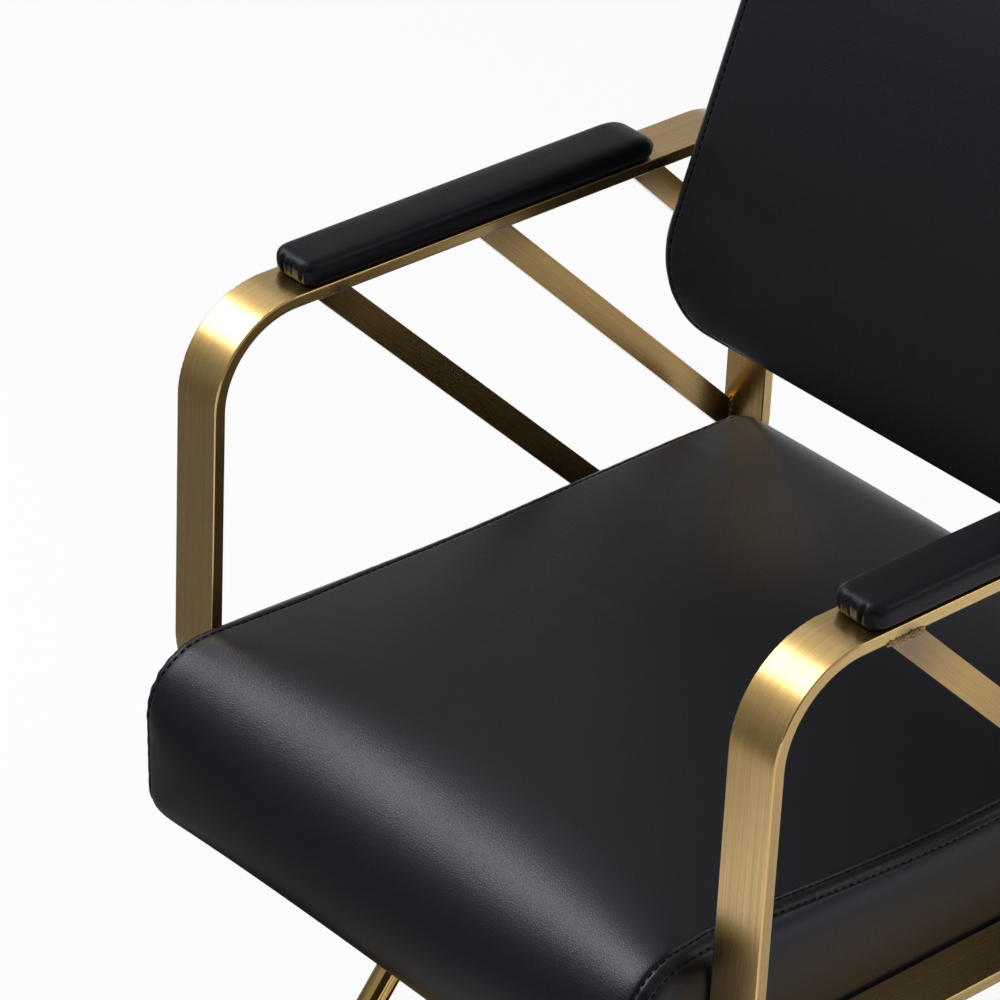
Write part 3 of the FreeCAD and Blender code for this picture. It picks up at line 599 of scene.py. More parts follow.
def make_polished(name, deep, pale, smooth, dull):
    """A mirror metal with faint wiping marks."""
    finish, _, worn = start_finish(name, patches=16.0, Metallic=1.0)
    rough = maths("MULTIPLY_ADD", worn["Speck"], WIPED_SPECK, ramp(worn["Cloud"], 0.0, 1.0, smooth, dull))
    return dressed(finish, tint(worn["Cloud"], deep, pale), rough, worn["Cloud"], *WIPED_RELIEF)


polished_gold = make_polished("polished_gold", (0.56, 0.36, 0.125, 1), (0.67, 0.46, 0.19, 1), 0.05, 0.11)
chrome = make_polished("chrome_rod", (0.66, 0.67, 0.69, 1), (0.74, 0.75, 0.77, 1), 0.05, 0.10)
zinc = make_polished("zinc_fastener", (0.46, 0.45, 0.42, 1), (0.60, 0.59, 0.56, 1), 0.30, 0.44)
print("polished finishes", polished_gold.name, chrome.name, zinc.name)

# %% [markdown]
# ## Wood, rubber, nylon and powder coat
# What is under the seat is plain workshop material. Plywood shows its plies as thin layers at the edge and
# long grain on the face. The foot rest's caps and the pedal are moulded rubber, the sliding bush is nylon,
# and the brackets are powder coated steel, which has a slight orange peel.

# %% Plywood
PLY_THICK = 0.0016
FIBRE_STRETCH = (120.0, 6.0, 120.0)
PLY_SHARE, FIBRE_SHARE = 0.35, 0.7
FIBRE_RELIEF = (0.2, 0.0004)


def make_plywood():
    finish, where, worn = start_finish("plywood", patches=8.0, Specular_IOR_Level=0.3)
    flat = levelled(where, SEAT_TILT)
    ply = ramp(maths("PINGPONG", axes(flat)[2], PLY_THICK), PLY_THICK * 0.4, PLY_THICK * 0.6)
    fibre = noise(vectors("MULTIPLY", flat, FIBRE_STRETCH)[0], 1.0, 4.0)["Fac"]
    share = maths("MULTIPLY_ADD", ply, PLY_SHARE, maths("MULTIPLY", fibre, FIBRE_SHARE))
    colour = tint(share, (0.50, 0.33, 0.17, 1), (0.72, 0.54, 0.34, 1))
    return dressed(finish, colour, ramp(worn["Cloud"], 0.0, 1.0, 0.55, 0.7), fibre, *FIBRE_RELIEF)


plywood = make_plywood()
print("finish", plywood.name)

# %% Rubber, nylon and powder coat
SKIN_SPECK, SKIN_STRENGTH = 0.04, 0.3


def make_moulded(name, deep, pale, smooth, dull, cells, relief):
    """A moulded or coated surface with a fine skin."""
    finish, where, worn = start_finish(name, patches=18.0, Specular_IOR_Level=0.4)
    skin = effect(hide_grain, Vector=where, Cells_per_metre=cells)["Height"]
    rough = maths("MULTIPLY_ADD", worn["Speck"], SKIN_SPECK, ramp(worn["Cloud"], 0.0, 1.0, smooth, dull))
    return dressed(finish, tint(worn["Cloud"], deep, pale), rough, skin, SKIN_STRENGTH, relief)


rubber = make_moulded("black_rubber", grey(0.013), grey(0.028), 0.55, 0.7, 500.0, 0.0003)
nylon = make_moulded("nylon", (0.68, 0.67, 0.63, 1), (0.78, 0.77, 0.73, 1), 0.38, 0.5, 900.0, 0.00008)
coated = make_moulded(
    "black_steel", (0.016, 0.016, 0.017, 1), (0.026, 0.026, 0.028, 1), 0.36, 0.48, 420.0, 0.00012
)
print("finishes", rubber.name, nylon.name, coated.name)

# %% [markdown]
# ## Putting the finishes on the solids
# The record that came with the solids says which material each node is made of. One of those words needs a
# closer look, because brushed gold runs in a different direction on a loop, on a slanted bar and on the cross
# pieces behind the back, and the last two carry painted shade in their deeper tones.

# %% Dress the solids
FINISH_OF_SLOT = {
    "leather": leather,
    "brushed_gold": shaded_cross_gold,
    "polished_gold": polished_gold,
    "plywood": plywood,
    "black_rubber": rubber,
    "zinc_fastener": zinc,
    "nylon": nylon,
    "chrome_rod": chrome,
    "black_steel": coated,
}


def finish_for(node, slot):
    if node.startswith("arm_frame"):
        return loop_gold
    if node.startswith("brace"):
        return shaded_brace_gold
    return FINISH_OF_SLOT[slot]


slot_of_node = {part["node"]: part["material_slot"] for part in frame["record"]["subparts"]}
for node, solid in frame["nodes"].items():
    solid.data.materials.clear()
    solid.data.materials.append(finish_for(node, slot_of_node[node]))
print("solids dressed:", len(slot_of_node))

# %% [markdown]
# ## Cutting the covers
# A cushion cover is a flat panel, a band round its edge and a seam between them. All three cushions can be
# drawn as a stack of rounded, four-cornered rings with a patch of quads at either end: the seat is stacked
# from side to side, the back from rear to front, an arm pad from bottom to top. A remesh would also close the
# form, but it would lose the seam, and here every ring stays one thread line that can be pinned and stitched.

# %% A ring with rounded corners
ARC_STEPS = 14


def unit(vector):
    return vector / np.linalg.norm(vector)


def closed(path):
    """A path that comes back to its first point."""
    return np.concatenate([path, path[:1]])


def run_lengths(path):
    """The distance gone at each point of a path."""
    return np.concatenate([[0], np.cumsum(np.linalg.norm(np.diff(path, axis=0), axis=1))])


def picked(path, gone, at):
    """The points of a path at given distances along it."""
    return np.column_stack([np.interp(at, gone, column) for column in path.T])


def evenly(path, count):
    """Evenly spread points of a path, without its last one."""
    gone = run_lengths(path)
    return picked(path, gone, np.linspace(0, gone[-1], count, endpoint=False))


def rounded_ring(corners, radii, counts):
    """Points round an outline of four rounded corners, from the middle of each corner to the next."""
    corners = [np.array(corner, float) for corner in corners]
    step = np.linspace(0, 1, 2 * ARC_STEPS + 1)[:, None]
    arcs = []
    for i, (corner, radius) in enumerate(zip(corners, radii)):
        before, after = unit(corners[i - 1] - corner), unit(corners[(i + 1) % 4] - corner)
        half = 0.5 * math.acos(float(before @ after))
        centre = corner + unit(before + after) * radius / math.sin(half)
        turn = math.pi - 2 * half
        first = corner + before * radius / math.tan(half) - centre
        last = corner + after * radius / math.tan(half) - centre
        swept = np.sin((1 - step) * turn) * first + np.sin(step * turn) * last
        arcs.append(centre + swept / math.sin(turn))
    runs = [np.vstack([arcs[i][ARC_STEPS:], arcs[(i + 1) % 4][: ARC_STEPS + 1]]) for i in range(4)]
    return np.vstack([evenly(run, count) for run, count in zip(runs, counts)])


print("a rounded corner has", 2 * ARC_STEPS, "steps")

# %% A stack of rings
PATCH_ROUNDS = 80
DOME_POWER = 3


def point_places(mesh):
    at = np.empty(len(mesh.vertices) * 3)
    mesh.vertices.foreach_get("co", at)
    return at.reshape(-1, 3)


def set_places(mesh, at):
    mesh.vertices.foreach_set("co", np.ascontiguousarray(at, float).ravel())
    mesh.update()


def belt(a, b, around):
    """Quads between two rings of points that start at a and b."""
    return [(a + i, a + (i + 1) % around, b + (i + 1) % around, b + i) for i in range(around)]


def fill_border(grid, loop):
    """Lays a closed ring round the border of a grid."""
    na, nb = grid.shape[0] - 1, grid.shape[1] - 1
    grid[:, 0] = loop[: na + 1]
    grid[na, :] = loop[na : na + nb + 1]
    grid[::-1, nb] = loop[na + nb : 2 * na + nb + 1]
    grid[0, ::-1] = loop[2 * na + nb :]


def patch(ring, na, nb, swell):
    """A grid of points that fills a ring, eased until it lies evenly, and pushed out by a swell."""
    grid = np.zeros((na + 1, nb + 1, 3))
    fill_border(grid, closed(ring))
    u, v = np.linspace(0, 1, na + 1), np.linspace(0, 1, nb + 1)
    a, b = u[1:-1, None, None], v[None, 1:-1, None]
    grid[1:-1, 1:-1] = (
        (1 - b) * grid[1:-1, :1] + b * grid[1:-1, -1:] + (1 - a) * grid[:1, 1:-1] + a * grid[-1:, 1:-1]
        - (1 - a) * (1 - b) * grid[0, 0] - a * (1 - b) * grid[-1, 0]
        - (1 - a) * b * grid[0, -1] - a * b * grid[-1, -1]
    )
    for _ in range(PATCH_ROUNDS):
        grid[1:-1, 1:-1] = 0.25 * (grid[2:, 1:-1] + grid[:-2, 1:-1] + grid[1:-1, 2:] + grid[1:-1, :-2])
    domes = [1 - np.abs(2 * share - 1) ** DOME_POWER for share in (u, v)]
    return grid + np.outer(*domes)[..., None] * np.asarray(swell)


def stacked(name, rings, sides, swells):
    """A closed quad mesh from equal rings; sides are the counts of points on two adjacent ring sides."""
    na, nb = sides
    count = 2 * (na + nb)
    points, faces = list(np.vstack(rings)), []
    for r in range(len(rings) - 1):
        faces += belt(r * count, (r + 1) * count, count)
    for end, swell, way in ((0, swells[0], -1), (len(rings) - 1, swells[1], 1)):
        at = np.zeros((na + 1, nb + 1), int)
        fill_border(at, closed(np.arange(count)) + end * count)
        at[1:-1, 1:-1] = len(points) + np.arange((na - 1) * (nb - 1)).reshape(na - 1, nb - 1)
        points += list(patch(rings[end], na, nb, swell)[1:-1, 1:-1].reshape(-1, 3))
        for i in range(na):
            for j in range(nb):
                faces.append((at[i, j], at[i + 1, j], at[i + 1, j + 1], at[i, j + 1])[::way])
    return mesh_of(name, points, faces)


def volume_of(mesh):
    """The room inside a closed mesh, negative when it is inside out."""
    mesh.calc_loop_triangles()
    at = point_places(mesh)
    tri = np.array([t.vertices[:] for t in mesh.loop_triangles])
    return float(np.einsum("ij,ij->i", at[tri[:, 0]], np.cross(at[tri[:, 1]], at[tri[:, 2]])).sum() / 6)


def outward(mesh):
    """The mesh with its faces turned outwards, and shaded smooth."""
    if volume_of(mesh) < 0:
        mesh.flip_normals()
    mesh.shade_smooth()
    return mesh


print("a patch is eased", PATCH_ROUNDS, "times")

# %% [markdown]
# ## Stuffing the covers
# A sewn cover is smaller than its stuffing, so it swells wherever nothing holds it. Cloth with pressure does
# exactly this: the seam lines and the underside are pinned, gravity is off, and twenty steps are enough. How
# far a point may go is eased towards a limit, and the result is written back into the mesh, so no simulation
# is left on the piece.

# %% Cloth
CLOTH_STEPS = 20


def evaluated_mesh(piece):
    """What a piece's modifiers make of it."""
    return bpy.data.meshes.new_from_object(piece.evaluated_get(bpy.context.evaluated_depsgraph_get()))


def swell_with_cloth(mesh, pinned, pressure, limit):
    """Blows up a closed mesh between its pinned points. Points move by up to about the limit."""
    start = point_places(mesh)
    trial = bpy.data.objects.new("cover_on_trial", mesh.copy())
    scene.collection.objects.link(trial)
    trial.vertex_groups.new(name="sewn").add(np.flatnonzero(pinned).tolist(), 1.0, "REPLACE")
    cloth = trial.modifiers.new("stuffing", "CLOTH")
    feel = cloth.settings
    feel.quality, feel.mass, feel.air_damping = 6, 0.25, 4.0
    feel.tension_stiffness = feel.compression_stiffness = 18.0
    feel.shear_stiffness, feel.bending_stiffness = 8.0, 2.0
    feel.use_pressure, feel.uniform_pressure_force = True, pressure
    feel.vertex_group_mass = "sewn"
    feel.effector_weights.gravity = 0.0
    cloth.collision_settings.use_collision = False
    cloth.point_cache.frame_start, cloth.point_cache.frame_end = 1, CLOTH_STEPS
    for step in range(1, CLOTH_STEPS + 1):
        scene.frame_set(step)
    made = evaluated_mesh(trial)
    move = point_places(made) - start
    far = np.linalg.norm(move, axis=1)
    eased = limit * np.tanh(far / limit)
    set_places(mesh, start + move * (eased / np.maximum(far, 1e-9))[:, None])
    spare = trial.data
    bpy.data.objects.remove(trial)
    bpy.data.meshes.remove(spare)
    bpy.data.meshes.remove(made)
    scene.frame_set(1)
    print("cloth: largest free move", round(float(far.max()) * 1000, 1), "mm")


def divided(name, mesh):
    """The mesh after one smooth subdivision."""
    coarse = bpy.data.objects.new(name + "_coarse", mesh)
    scene.collection.objects.link(coarse)
    smooth = coarse.modifiers.new("smooth", "SUBSURF")
    smooth.levels = smooth.render_levels = 1
    fine = evaluated_mesh(coarse)
    bpy.data.objects.remove(coarse)
    fine.name = name
    fine.shade_smooth()
    return fine


# %% [markdown]
# ## Sewing
# A seam pulls the cover in: a sharp valley at the joint, a flat lip beside it where the seam allowance lies
# underneath, and a row of topstitching that dents the lip's far edge. Where the edge goes round a tight curve
# there is too much leather, and it gathers in small puckers across the lip. Each point of a cover knows its
# distance from the seam, so all of this is one sum of smooth bumps along the normals. The stitches are little
# capsules of thread that lie in the dent, and on the seat a second row lies down in the seam.

# %% Marks on a cover, and adding a piece
NO_SEAM, SIDE_PANEL = 1.0, -0.05


def keep_rings(mesh, offs, around, elsewhere):
    """Keeps each point's distance from the seam and its step along the ring; both survive the subdivision."""
    ringed = len(offs) * around
    off, step = np.full(len(mesh.vertices), elsewhere), np.zeros(len(mesh.vertices))
    off[:ringed], step[:ringed] = np.repeat(offs, around), np.tile(np.arange(around), len(offs))
    for name, values in (("seam_off", off), ("ring_step", step)):
        mesh.attributes.new(name, "FLOAT", "POINT").data.foreach_set("value", values.astype(np.float32))


def kept_value(mesh, name):
    values = np.empty(len(mesh.vertices), np.float32)
    mesh.attributes[name].data.foreach_get("value", values)
    return values.astype(float)


def add_piece(name, mesh, finish):
    """A mesh as a piece that rides on the seat unit."""
    mesh.materials.append(finish)
    piece = bpy.data.objects.new(name, mesh)
    scene.collection.objects.link(piece)
    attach(piece, "seat_unit")
    print(name, "has", len(mesh.vertices), "points")
    return piece


def add_cushion(name, mesh, finish, node):
    """A sewn cover in the place of its plain solid."""
    piece = add_piece(name, mesh, finish)
    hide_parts(node)


print("points without a seam nearby are marked", NO_SEAM, "or", SIDE_PANEL)

# %% Seams and stitches
SEAM_DEPTH, SEAM_HALF = 0.0007, 0.0008
LIP_OFF, LIP_RISE, LIP_HALF = 0.0052, 0.0005, 0.0034
ROW_OFF, ROW_DENT, ROW_HALF = 0.0100, 0.0013, 0.0014
GATHER_OFF, GATHER_HALF = 0.0050, 0.0046
SEWN_REACH = 0.0125
STITCH_LONG, STITCH_PITCH, STITCH_HALF = 0.0045, 0.0064, 0.00055
STITCH_GIRTHS = [0.35, 0.8, 1.0, 1.0, 1.0, 0.8, 0.35]
STITCH_DROPS = [0.0005, 0.00015, 0.0, 0.0, 0.0, 0.00015, 0.0005]
STITCH_FACETS = 6
STITCH_AHEAD = 0.001
ROW_SINK, SEAM_SINK = 0.00012, 0.00045


def bell(distance, half):
    return np.exp(-((distance / half) ** 2))


def normals_of(mesh):
    out = np.empty(len(mesh.vertices) * 3)
    mesh.vertex_normals.foreach_get("vector", out)
    return out.reshape(-1, 3)


def press_seam(mesh, gather):
    """Valley, lip, row dent and puckers, from each point's distance to the seam and its share of gathers."""
    off = kept_value(mesh, "seam_off")
    depth = LIP_RISE * bell(off - LIP_OFF, LIP_HALF) - SEAM_DEPTH * bell(off, SEAM_HALF)
    depth += gather * bell(off - GATHER_OFF, GATHER_HALF) - ROW_DENT * bell(off - ROW_OFF, ROW_HALF)
    set_places(mesh, point_places(mesh) + normals_of(mesh) * depth[:, None])


def ground_of(mesh):
    """A cover as something that stitches can be laid on."""
    faces = [face.vertices[:] for face in mesh.polygons]
    return BVHTree.FromPolygons([tuple(p) for p in point_places(mesh)], faces)


def add_stitches(name, line, ground, sink):
    """Capsules of thread along a line, laid on a cover and sunk a little into it."""
    gone = run_lengths(line)
    count = int(gone[-1] // STITCH_PITCH)
    along = STITCH_LONG * np.linspace(-0.5, 0.5, len(STITCH_GIRTHS))
    points, faces = [], []
    for k in range(count):
        rows = []
        for share, girth, drop in zip(along, STITCH_GIRTHS, STITCH_DROPS):
            at = (k + 0.5) * gone[-1] / count + share
            spot, ahead = map(Vector, picked(line, gone, [at, at + STITCH_AHEAD]))
            found, normal, _, _ = ground.find_nearest(spot)
            side = normal.cross(ahead - spot).normalized()
            centre = found + normal * (STITCH_HALF - sink - drop)
            rows.append(len(points))
            for turn in np.arange(STITCH_FACETS) * math.tau / STITCH_FACETS:
                way = side * math.cos(turn) + normal * math.sin(turn)
                points.append(centre + way * (STITCH_HALF * girth))
        for a, b in zip(rows, rows[1:]):
            faces += belt(a, b, STITCH_FACETS)
        faces.append([rows[0] + t for t in reversed(range(STITCH_FACETS))])
        faces.append([rows[-1] + t for t in range(STITCH_FACETS)])
    mesh = mesh_of(name, points, faces)
    mesh.shade_smooth()
    add_piece(name, mesh, thread)


print("a stitch is", STITCH_LONG * 1000, "mm long")

# %% [markdown]
# ## The seat cushion
# A thick box cushion: one long panel that runs from the lower front edge over the front roll to the back, and
# a side panel at each end, sewn on a few millimetres down the side. Its rings run round the long panel. They
# stand close together at the seam and loosely across the middle, where the top is crowned.

# %% Seat cushion shape
SEAT_HALF = 0.229
SEAT_FRONT, SEAT_REAR = -0.2805, 0.281
SEAT_FRONT_HIGH, SEAT_REAR_HIGH = 0.1405, 0.1295
SEAT_FRONT_RAKE, SEAT_REAR_RAKE = 0.0045, 0.003
SEAT_CROWN, SEAT_CROWN_UNSTUFFED, CROWN_POWER = 0.0075, 0.0025, 2.4
SEAT_SWELL, REAR_SWELL = 0.009, 0.5
SEAT_RADII_SIDE = np.array([0.030, 0.050, 0.026, 0.016])
SEAT_RADII_MIDDLE = np.array([0.044, 0.088, 0.030, 0.016])
SEAT_RADIUS_LEAST = 0.004
SEAT_SIDES, SEAT_STATIONS = (32, 128), 50
SEAT_AROUND = 2 * sum(SEAT_SIDES)
SEAT_SIDE_DOME = 0.001
SEAT_SEAM_OUT = 0.2376
SEAT_TILTS = {
    0.030: 0, 0.020: 4, 0.0115: 20, 0.006: 36, 0.001: 51, 0.0: 55, -0.003: 66, -0.007: 76, -0.013: 84,
    -0.022: 90,
}
SEAT_RING_OFFS = [
    -0.0230, -0.0170, -0.0115, -0.0075, -0.0046, -0.0024, -0.0010, 0.0, 0.0010, 0.0022, 0.0038, 0.0056,
    0.0072, 0.0086, 0.0100, 0.0114, 0.0130, 0.0155, 0.0190, 0.0240, 0.0300,
]
SEAM_SLIDE = (
    [0, 30, 38, 48, 60, 76, 96, 150, 160, 320],
    [0.0, 0.0, -0.003, -0.007, -0.0079, -0.0045, -0.002, 0.001, 0.0, 0.0],
)
SLIDE_MIDDLE, SLIDE_FULL, SLIDE_FADE = 0.005, 0.006, 0.010
DISH = (
    [-0.28, -0.20, -0.13, -0.035, 0.01, 0.06, 0.105, 0.20, 0.28],
    [-0.0015, -0.001, -0.002, -0.0038, -0.0038, -0.0024, -0.0008, 0.0016, 0.0014],
)
DISH_STEEP, DISH_START = 2.0, 0.9
PROFILE_STEPS = 300
INSET_STEP = 0.003
INSETS = INSET_STEP * np.arange(17)


def edge_profile():
    """Distance from the seam, distance out and drop along the edge, which tilts more and more."""
    off = np.linspace(max(SEAT_TILTS), min(SEAT_TILTS), PROFILE_STEPS)
    known = sorted(SEAT_TILTS)
    tilt = np.radians(np.interp(off, known, [SEAT_TILTS[k] for k in known]))
    step = np.concatenate([[0], -np.diff(off)])
    out, drop = np.cumsum(np.cos(tilt) * step), np.cumsum(np.sin(tilt) * step)
    out += SEAT_SEAM_OUT - np.interp(0.0, off[::-1], out[::-1])
    return off[::-1], out[::-1], drop[::-1]


def at_insets(outlines, wanted):
    """Points picked from a pile of outlines drawn at the steps of INSETS, one inset for each point."""
    place_in = np.clip(wanted / INSET_STEP, 0, len(INSETS) - 1.001)
    low = place_in.astype(int)
    share = (place_in - low)[:, None]
    index = np.arange(outlines.shape[1])
    return outlines[low, index] * (1 - share) + outlines[low + 1, index] * share


def seat_outline(across, inset, crown):
    """The seat's section at one place from side to side, in the seat unit's own frame."""
    middle = 1.0 - min(1.0, abs(across) / SEAT_HALF) ** CROWN_POWER
    rise, swell = crown * middle, SEAT_SWELL * middle
    corners = [
        (SEAT_FRONT + SEAT_FRONT_RAKE + inset, inset),
        (SEAT_FRONT - swell + inset, SEAT_FRONT_HIGH + rise - inset),
        (SEAT_REAR + REAR_SWELL * swell - inset, SEAT_REAR_HIGH + rise - inset),
        (SEAT_REAR - SEAT_REAR_RAKE - inset, inset),
    ]
    radii = SEAT_RADII_SIDE + (SEAT_RADII_MIDDLE - SEAT_RADII_SIDE) * middle - inset
    ring = rounded_ring(corners, np.maximum(radii, SEAT_RADIUS_LEAST), SEAT_SIDES * 2)
    top = np.clip(ring[:, 1] / SEAT_REAR_HIGH * DISH_STEEP - DISH_START, 0, 1)
    ring[:, 1] += top * np.interp(ring[:, 0], *DISH)
    return ring


def seat_ring(off, across, sign, crown, profile):
    """One ring of the cover. Near the edge it follows the edge profile, slid by the seam's own wander."""
    if off is None:
        ring = seat_outline(across, 0.0, crown)
        return np.column_stack([np.full(len(ring), across), ring])
    held = bell(max(0.0, abs(off - SLIDE_MIDDLE) - SLIDE_FULL), SLIDE_FADE)
    spot = off - np.interp(np.arange(SEAT_AROUND), *SEAM_SLIDE) * held
    outs, drops = (np.interp(spot, profile[0], values) for values in profile[1:])
    ring = at_insets(np.stack([seat_outline(outs.mean(), inset, crown) for inset in INSETS]), drops)
    return np.column_stack([sign * outs, ring])


def make_seat_cover():
    profile = edge_profile()
    inner = profile[1][-1]
    crown = SEAT_CROWN_UNSTUFFED
    layers = [(off, -1.0, 0.0) for off in SEAT_RING_OFFS]
    layers += [(None, 1.0, x) for x in np.linspace(-inner, inner, SEAT_STATIONS)[1:-1]]
    layers += [(off, 1.0, 0.0) for off in reversed(SEAT_RING_OFFS)]
    rings = [seat_to_room(seat_ring(off, x, sign, crown, profile)) for off, sign, x in layers]
    mesh = stacked("seat_cover", rings, SEAT_SIDES, ((-SEAT_SIDE_DOME, 0, 0), (SEAT_SIDE_DOME, 0, 0)))
    offs = [NO_SEAM if off is None else off for off, _, _ in layers]
    keep_rings(mesh, offs, SEAT_AROUND, SIDE_PANEL)
    return outward(mesh), offs


seat_cover, seat_offs = make_seat_cover()
print("seat cover:", len(seat_cover.vertices), "points,", round(volume_of(seat_cover) * 1000, 1), "litres")

# %% Stuff and sew the seat
SEAT_UNDERSIDE = 0.020
SEAT_SIDE_LIMIT = 0.2414
SEAT_PRESSURE, SEAT_MOVE = 4.0, 0.007
SEAT_GATHERS = ([(32, 9), (160, 6)], 0.00030, 2.1)
RIPPLE_SHARE, RIPPLE_PITCH, RIPPLE_START = 0.6, 0.57, 1.3
GATHER_ANYWHERE = 0.25
ROW_END_GAP = 4
SEAT_ROW = slice(ROW_END_GAP, 2 * SEAT_SIDES[0] + SEAT_SIDES[1] - ROW_END_GAP)
SEAT_ROW_NAMES = ("right_hand", "left_hand", "right_hand_seam", "left_hand_seam")


def pucker(mesh, around, places, strength, waves):
    """Gathers along the rings, strong near the given places of them."""
    step = kept_value(mesh, "ring_step")
    near = sum(bell((step - at + around / 2) % around - around / 2, width) for at, width in places)
    ripple = np.sin(step * waves) + RIPPLE_SHARE * np.sin(step * waves * RIPPLE_PITCH + RIPPLE_START)
    return strength * (GATHER_ANYWHERE + near) * ripple


def sewn_points(cover):
    """True for the points that a seam or its row of stitches holds."""
    return np.abs(kept_value(cover, "seam_off")) < SEWN_REACH


def sewn_rows(cover, offs, around, wanted):
    """The rings of a cover at the wanted distances from a seam."""
    rings = point_places(cover)[: len(offs) * around].reshape(len(offs), around, 3)
    return [ring for distance in wanted for ring, off in zip(rings, offs) if off == distance]


def pressed(name, cover, around, gathers):
    """The fine mesh of a stuffed cover, with its seam and gathers pressed in."""
    mesh = divided(name, cover)
    press_seam(mesh, pucker(mesh, around, *gathers))
    return mesh


low = point_places(seat_cover)[:, 2] < SEAT_RISE + SEAT_UNDERSIDE
swell_with_cloth(seat_cover, sewn_points(seat_cover) | low, SEAT_PRESSURE, SEAT_MOVE)
seat_places = point_places(seat_cover)
print("sides reach", round(float(seat_places[:, 0].max()), 4), "m, the loops allow", SEAT_SIDE_LIMIT)
seat_places[:, 0] = np.clip(seat_places[:, 0], -SEAT_SIDE_LIMIT, SEAT_SIDE_LIMIT)
set_places(seat_cover, seat_places)
seat_rows = sewn_rows(seat_cover, seat_offs, SEAT_AROUND, (ROW_OFF, 0.0))
seat_mesh = pressed("seat_cushion_cover", seat_cover, SEAT_AROUND, SEAT_GATHERS)
add_cushion("seat_cushion_cover", seat_mesh, leather, "seat_cushion")
seat_ground = ground_of(seat_mesh)
for side, row in zip(SEAT_ROW_NAMES, seat_rows):
    sink = SEAM_SINK if side.endswith("seam") else ROW_SINK
    add_stitches("seat_stitches_" + side, row[SEAT_ROW], seat_ground, sink)

# %% [markdown]
# ## The back cushion
# The back is a rounded shield, a little wider at the bottom, leaning back. Its rings run round the outline
# and climb from the rear edge over a soft side band to the front roll, where the seam and its row of stitches
# lie, and the front panel is a patch that the stuffing crowns. A thin leather-covered board closes the rear.

# %% Back cushion shape
BACK_LEAN = math.radians(16.5)
BACK_PLACE = np.array((0.0, 0.2175, 0.2345))
BACK_HIGH = 0.385
BACK_LOW_HALF, BACK_TOP_HALF = 0.238, 0.2225
BACK_LOW_ROUND, BACK_TOP_ROUND = 0.0585, 0.062
BACK_DEEP, BACK_ROLL = 0.066, 0.022
BACK_REAR_EDGE = [
    (0.0040, 0.0300), (0.0040, 0.0200), (0.0010, 0.0156), (0.0, 0.0120), (0.0002, 0.0080), (0.0016, 0.0048),
]
BAND_START, BAND_INSET, BAND_BULGE = 0.0016, 0.0046, 0.0012
PANEL_RISE, PANEL_STEP = 0.0002, 0.007
BACK_DOME = 0.003
BACK_SIDES = (70, 62)
BACK_AROUND = 2 * sum(BACK_SIDES)
BACK_SEAM_TURN = math.radians(46.0)
BACK_RING_OFFS = [
    -0.0560, -0.0490, -0.0420, -0.0350, -0.0290, -0.0230, -0.0180, -0.0135, -0.0095, -0.0062, -0.0036,
    -0.0016, 0.0, 0.0016, 0.0034, 0.0052, 0.0070, 0.0086, 0.0100, 0.0114, 0.0132, 0.0158, 0.0195, 0.0240,
    0.0300, 0.0360,
]
BACK_SLIDE = (
    [0, 5, 14, 56, 65, 70, 76, 258, 264],
    [-0.006, -0.012, -0.019, -0.019, -0.012, -0.006, 0.0, 0.0, -0.006],
)
BACK_SLIDE_HELD = ([-0.060, -0.010, 0.014, 0.034], [0.0, 1.0, 1.0, 0.0])


def back_to_room(points):
    """Points of the back, which leans back more than the seat, brought into the room."""
    return seat_to_room(leant(points, BACK_LEAN) + BACK_PLACE)


def back_way(deep):
    """A step straight behind the back, as a direction in the room."""
    return back_to_room((0, deep, 0)) - back_to_room((0, 0, 0))


def back_outline(inset):
    """The outline of the back, drawn in by an inset."""
    low, top, high = BACK_LOW_HALF - inset, BACK_TOP_HALF - inset, BACK_HIGH - inset
    radii = [bend - 0.5 * inset for bend in (BACK_LOW_ROUND, BACK_LOW_ROUND, BACK_TOP_ROUND, BACK_TOP_ROUND)]
    return rounded_ring([(-low, inset), (low, inset), (top, high), (-top, high)], radii, BACK_SIDES * 2)


def rolled(start, radius, turns):
    """Height and inset along a roll that starts upright."""
    angles = [math.radians(turn) for turn in turns]
    return [(start + radius * math.sin(angle), radius * (1 - math.cos(angle))) for angle in angles]


def back_profile():
    """Distance from the seam, depth and inset along the edge, from the rear to the front panel."""
    rows, band_end = list(BACK_REAR_EDGE), BACK_DEEP - BACK_ROLL
    for share in np.linspace(0.1, 0.9, 9):
        inset = BAND_INSET * (1 - share) ** 2 - BAND_BULGE * math.sin(math.pi * share)
        rows.append((BAND_START + share * (band_end - BAND_START), inset))
    roll_start = len(rows)
    rows += rolled(band_end, BACK_ROLL, range(0, 91, 2))
    rows += [(BACK_DEEP + PANEL_RISE * i, BACK_ROLL + PANEL_STEP * i) for i in range(1, 4)]
    rows = np.array(rows)
    gone = run_lengths(rows)
    return gone - (gone[roll_start] + BACK_SEAM_TURN * BACK_ROLL), rows[:, 0], rows[:, 1]


def make_back_cover():
    offs, deeps, insets = back_profile()
    pile = np.stack([back_outline(inset) for inset in INSETS])
    wander = np.interp(np.arange(BACK_AROUND), *BACK_SLIDE)
    layers = list(offs[: len(BACK_REAR_EDGE)]) + BACK_RING_OFFS
    rings = []
    for off in layers:
        spot = off + np.interp(off, *BACK_SLIDE_HELD) * wander
        ring = at_insets(pile, np.interp(spot, offs, insets))
        rings.append(back_to_room(np.column_stack([ring[:, 0], -np.interp(spot, offs, deeps), ring[:, 1]])))
    mesh = stacked("back_cover", rings, BACK_SIDES, ((0, 0, 0), back_way(-BACK_DOME)))
    keep_rings(mesh, layers, BACK_AROUND, NO_SEAM)
    return outward(mesh), layers


back_cover, back_layers = make_back_cover()
print("back cover:", len(back_cover.vertices), "points,", round(volume_of(back_cover) * 1000, 1), "litres")

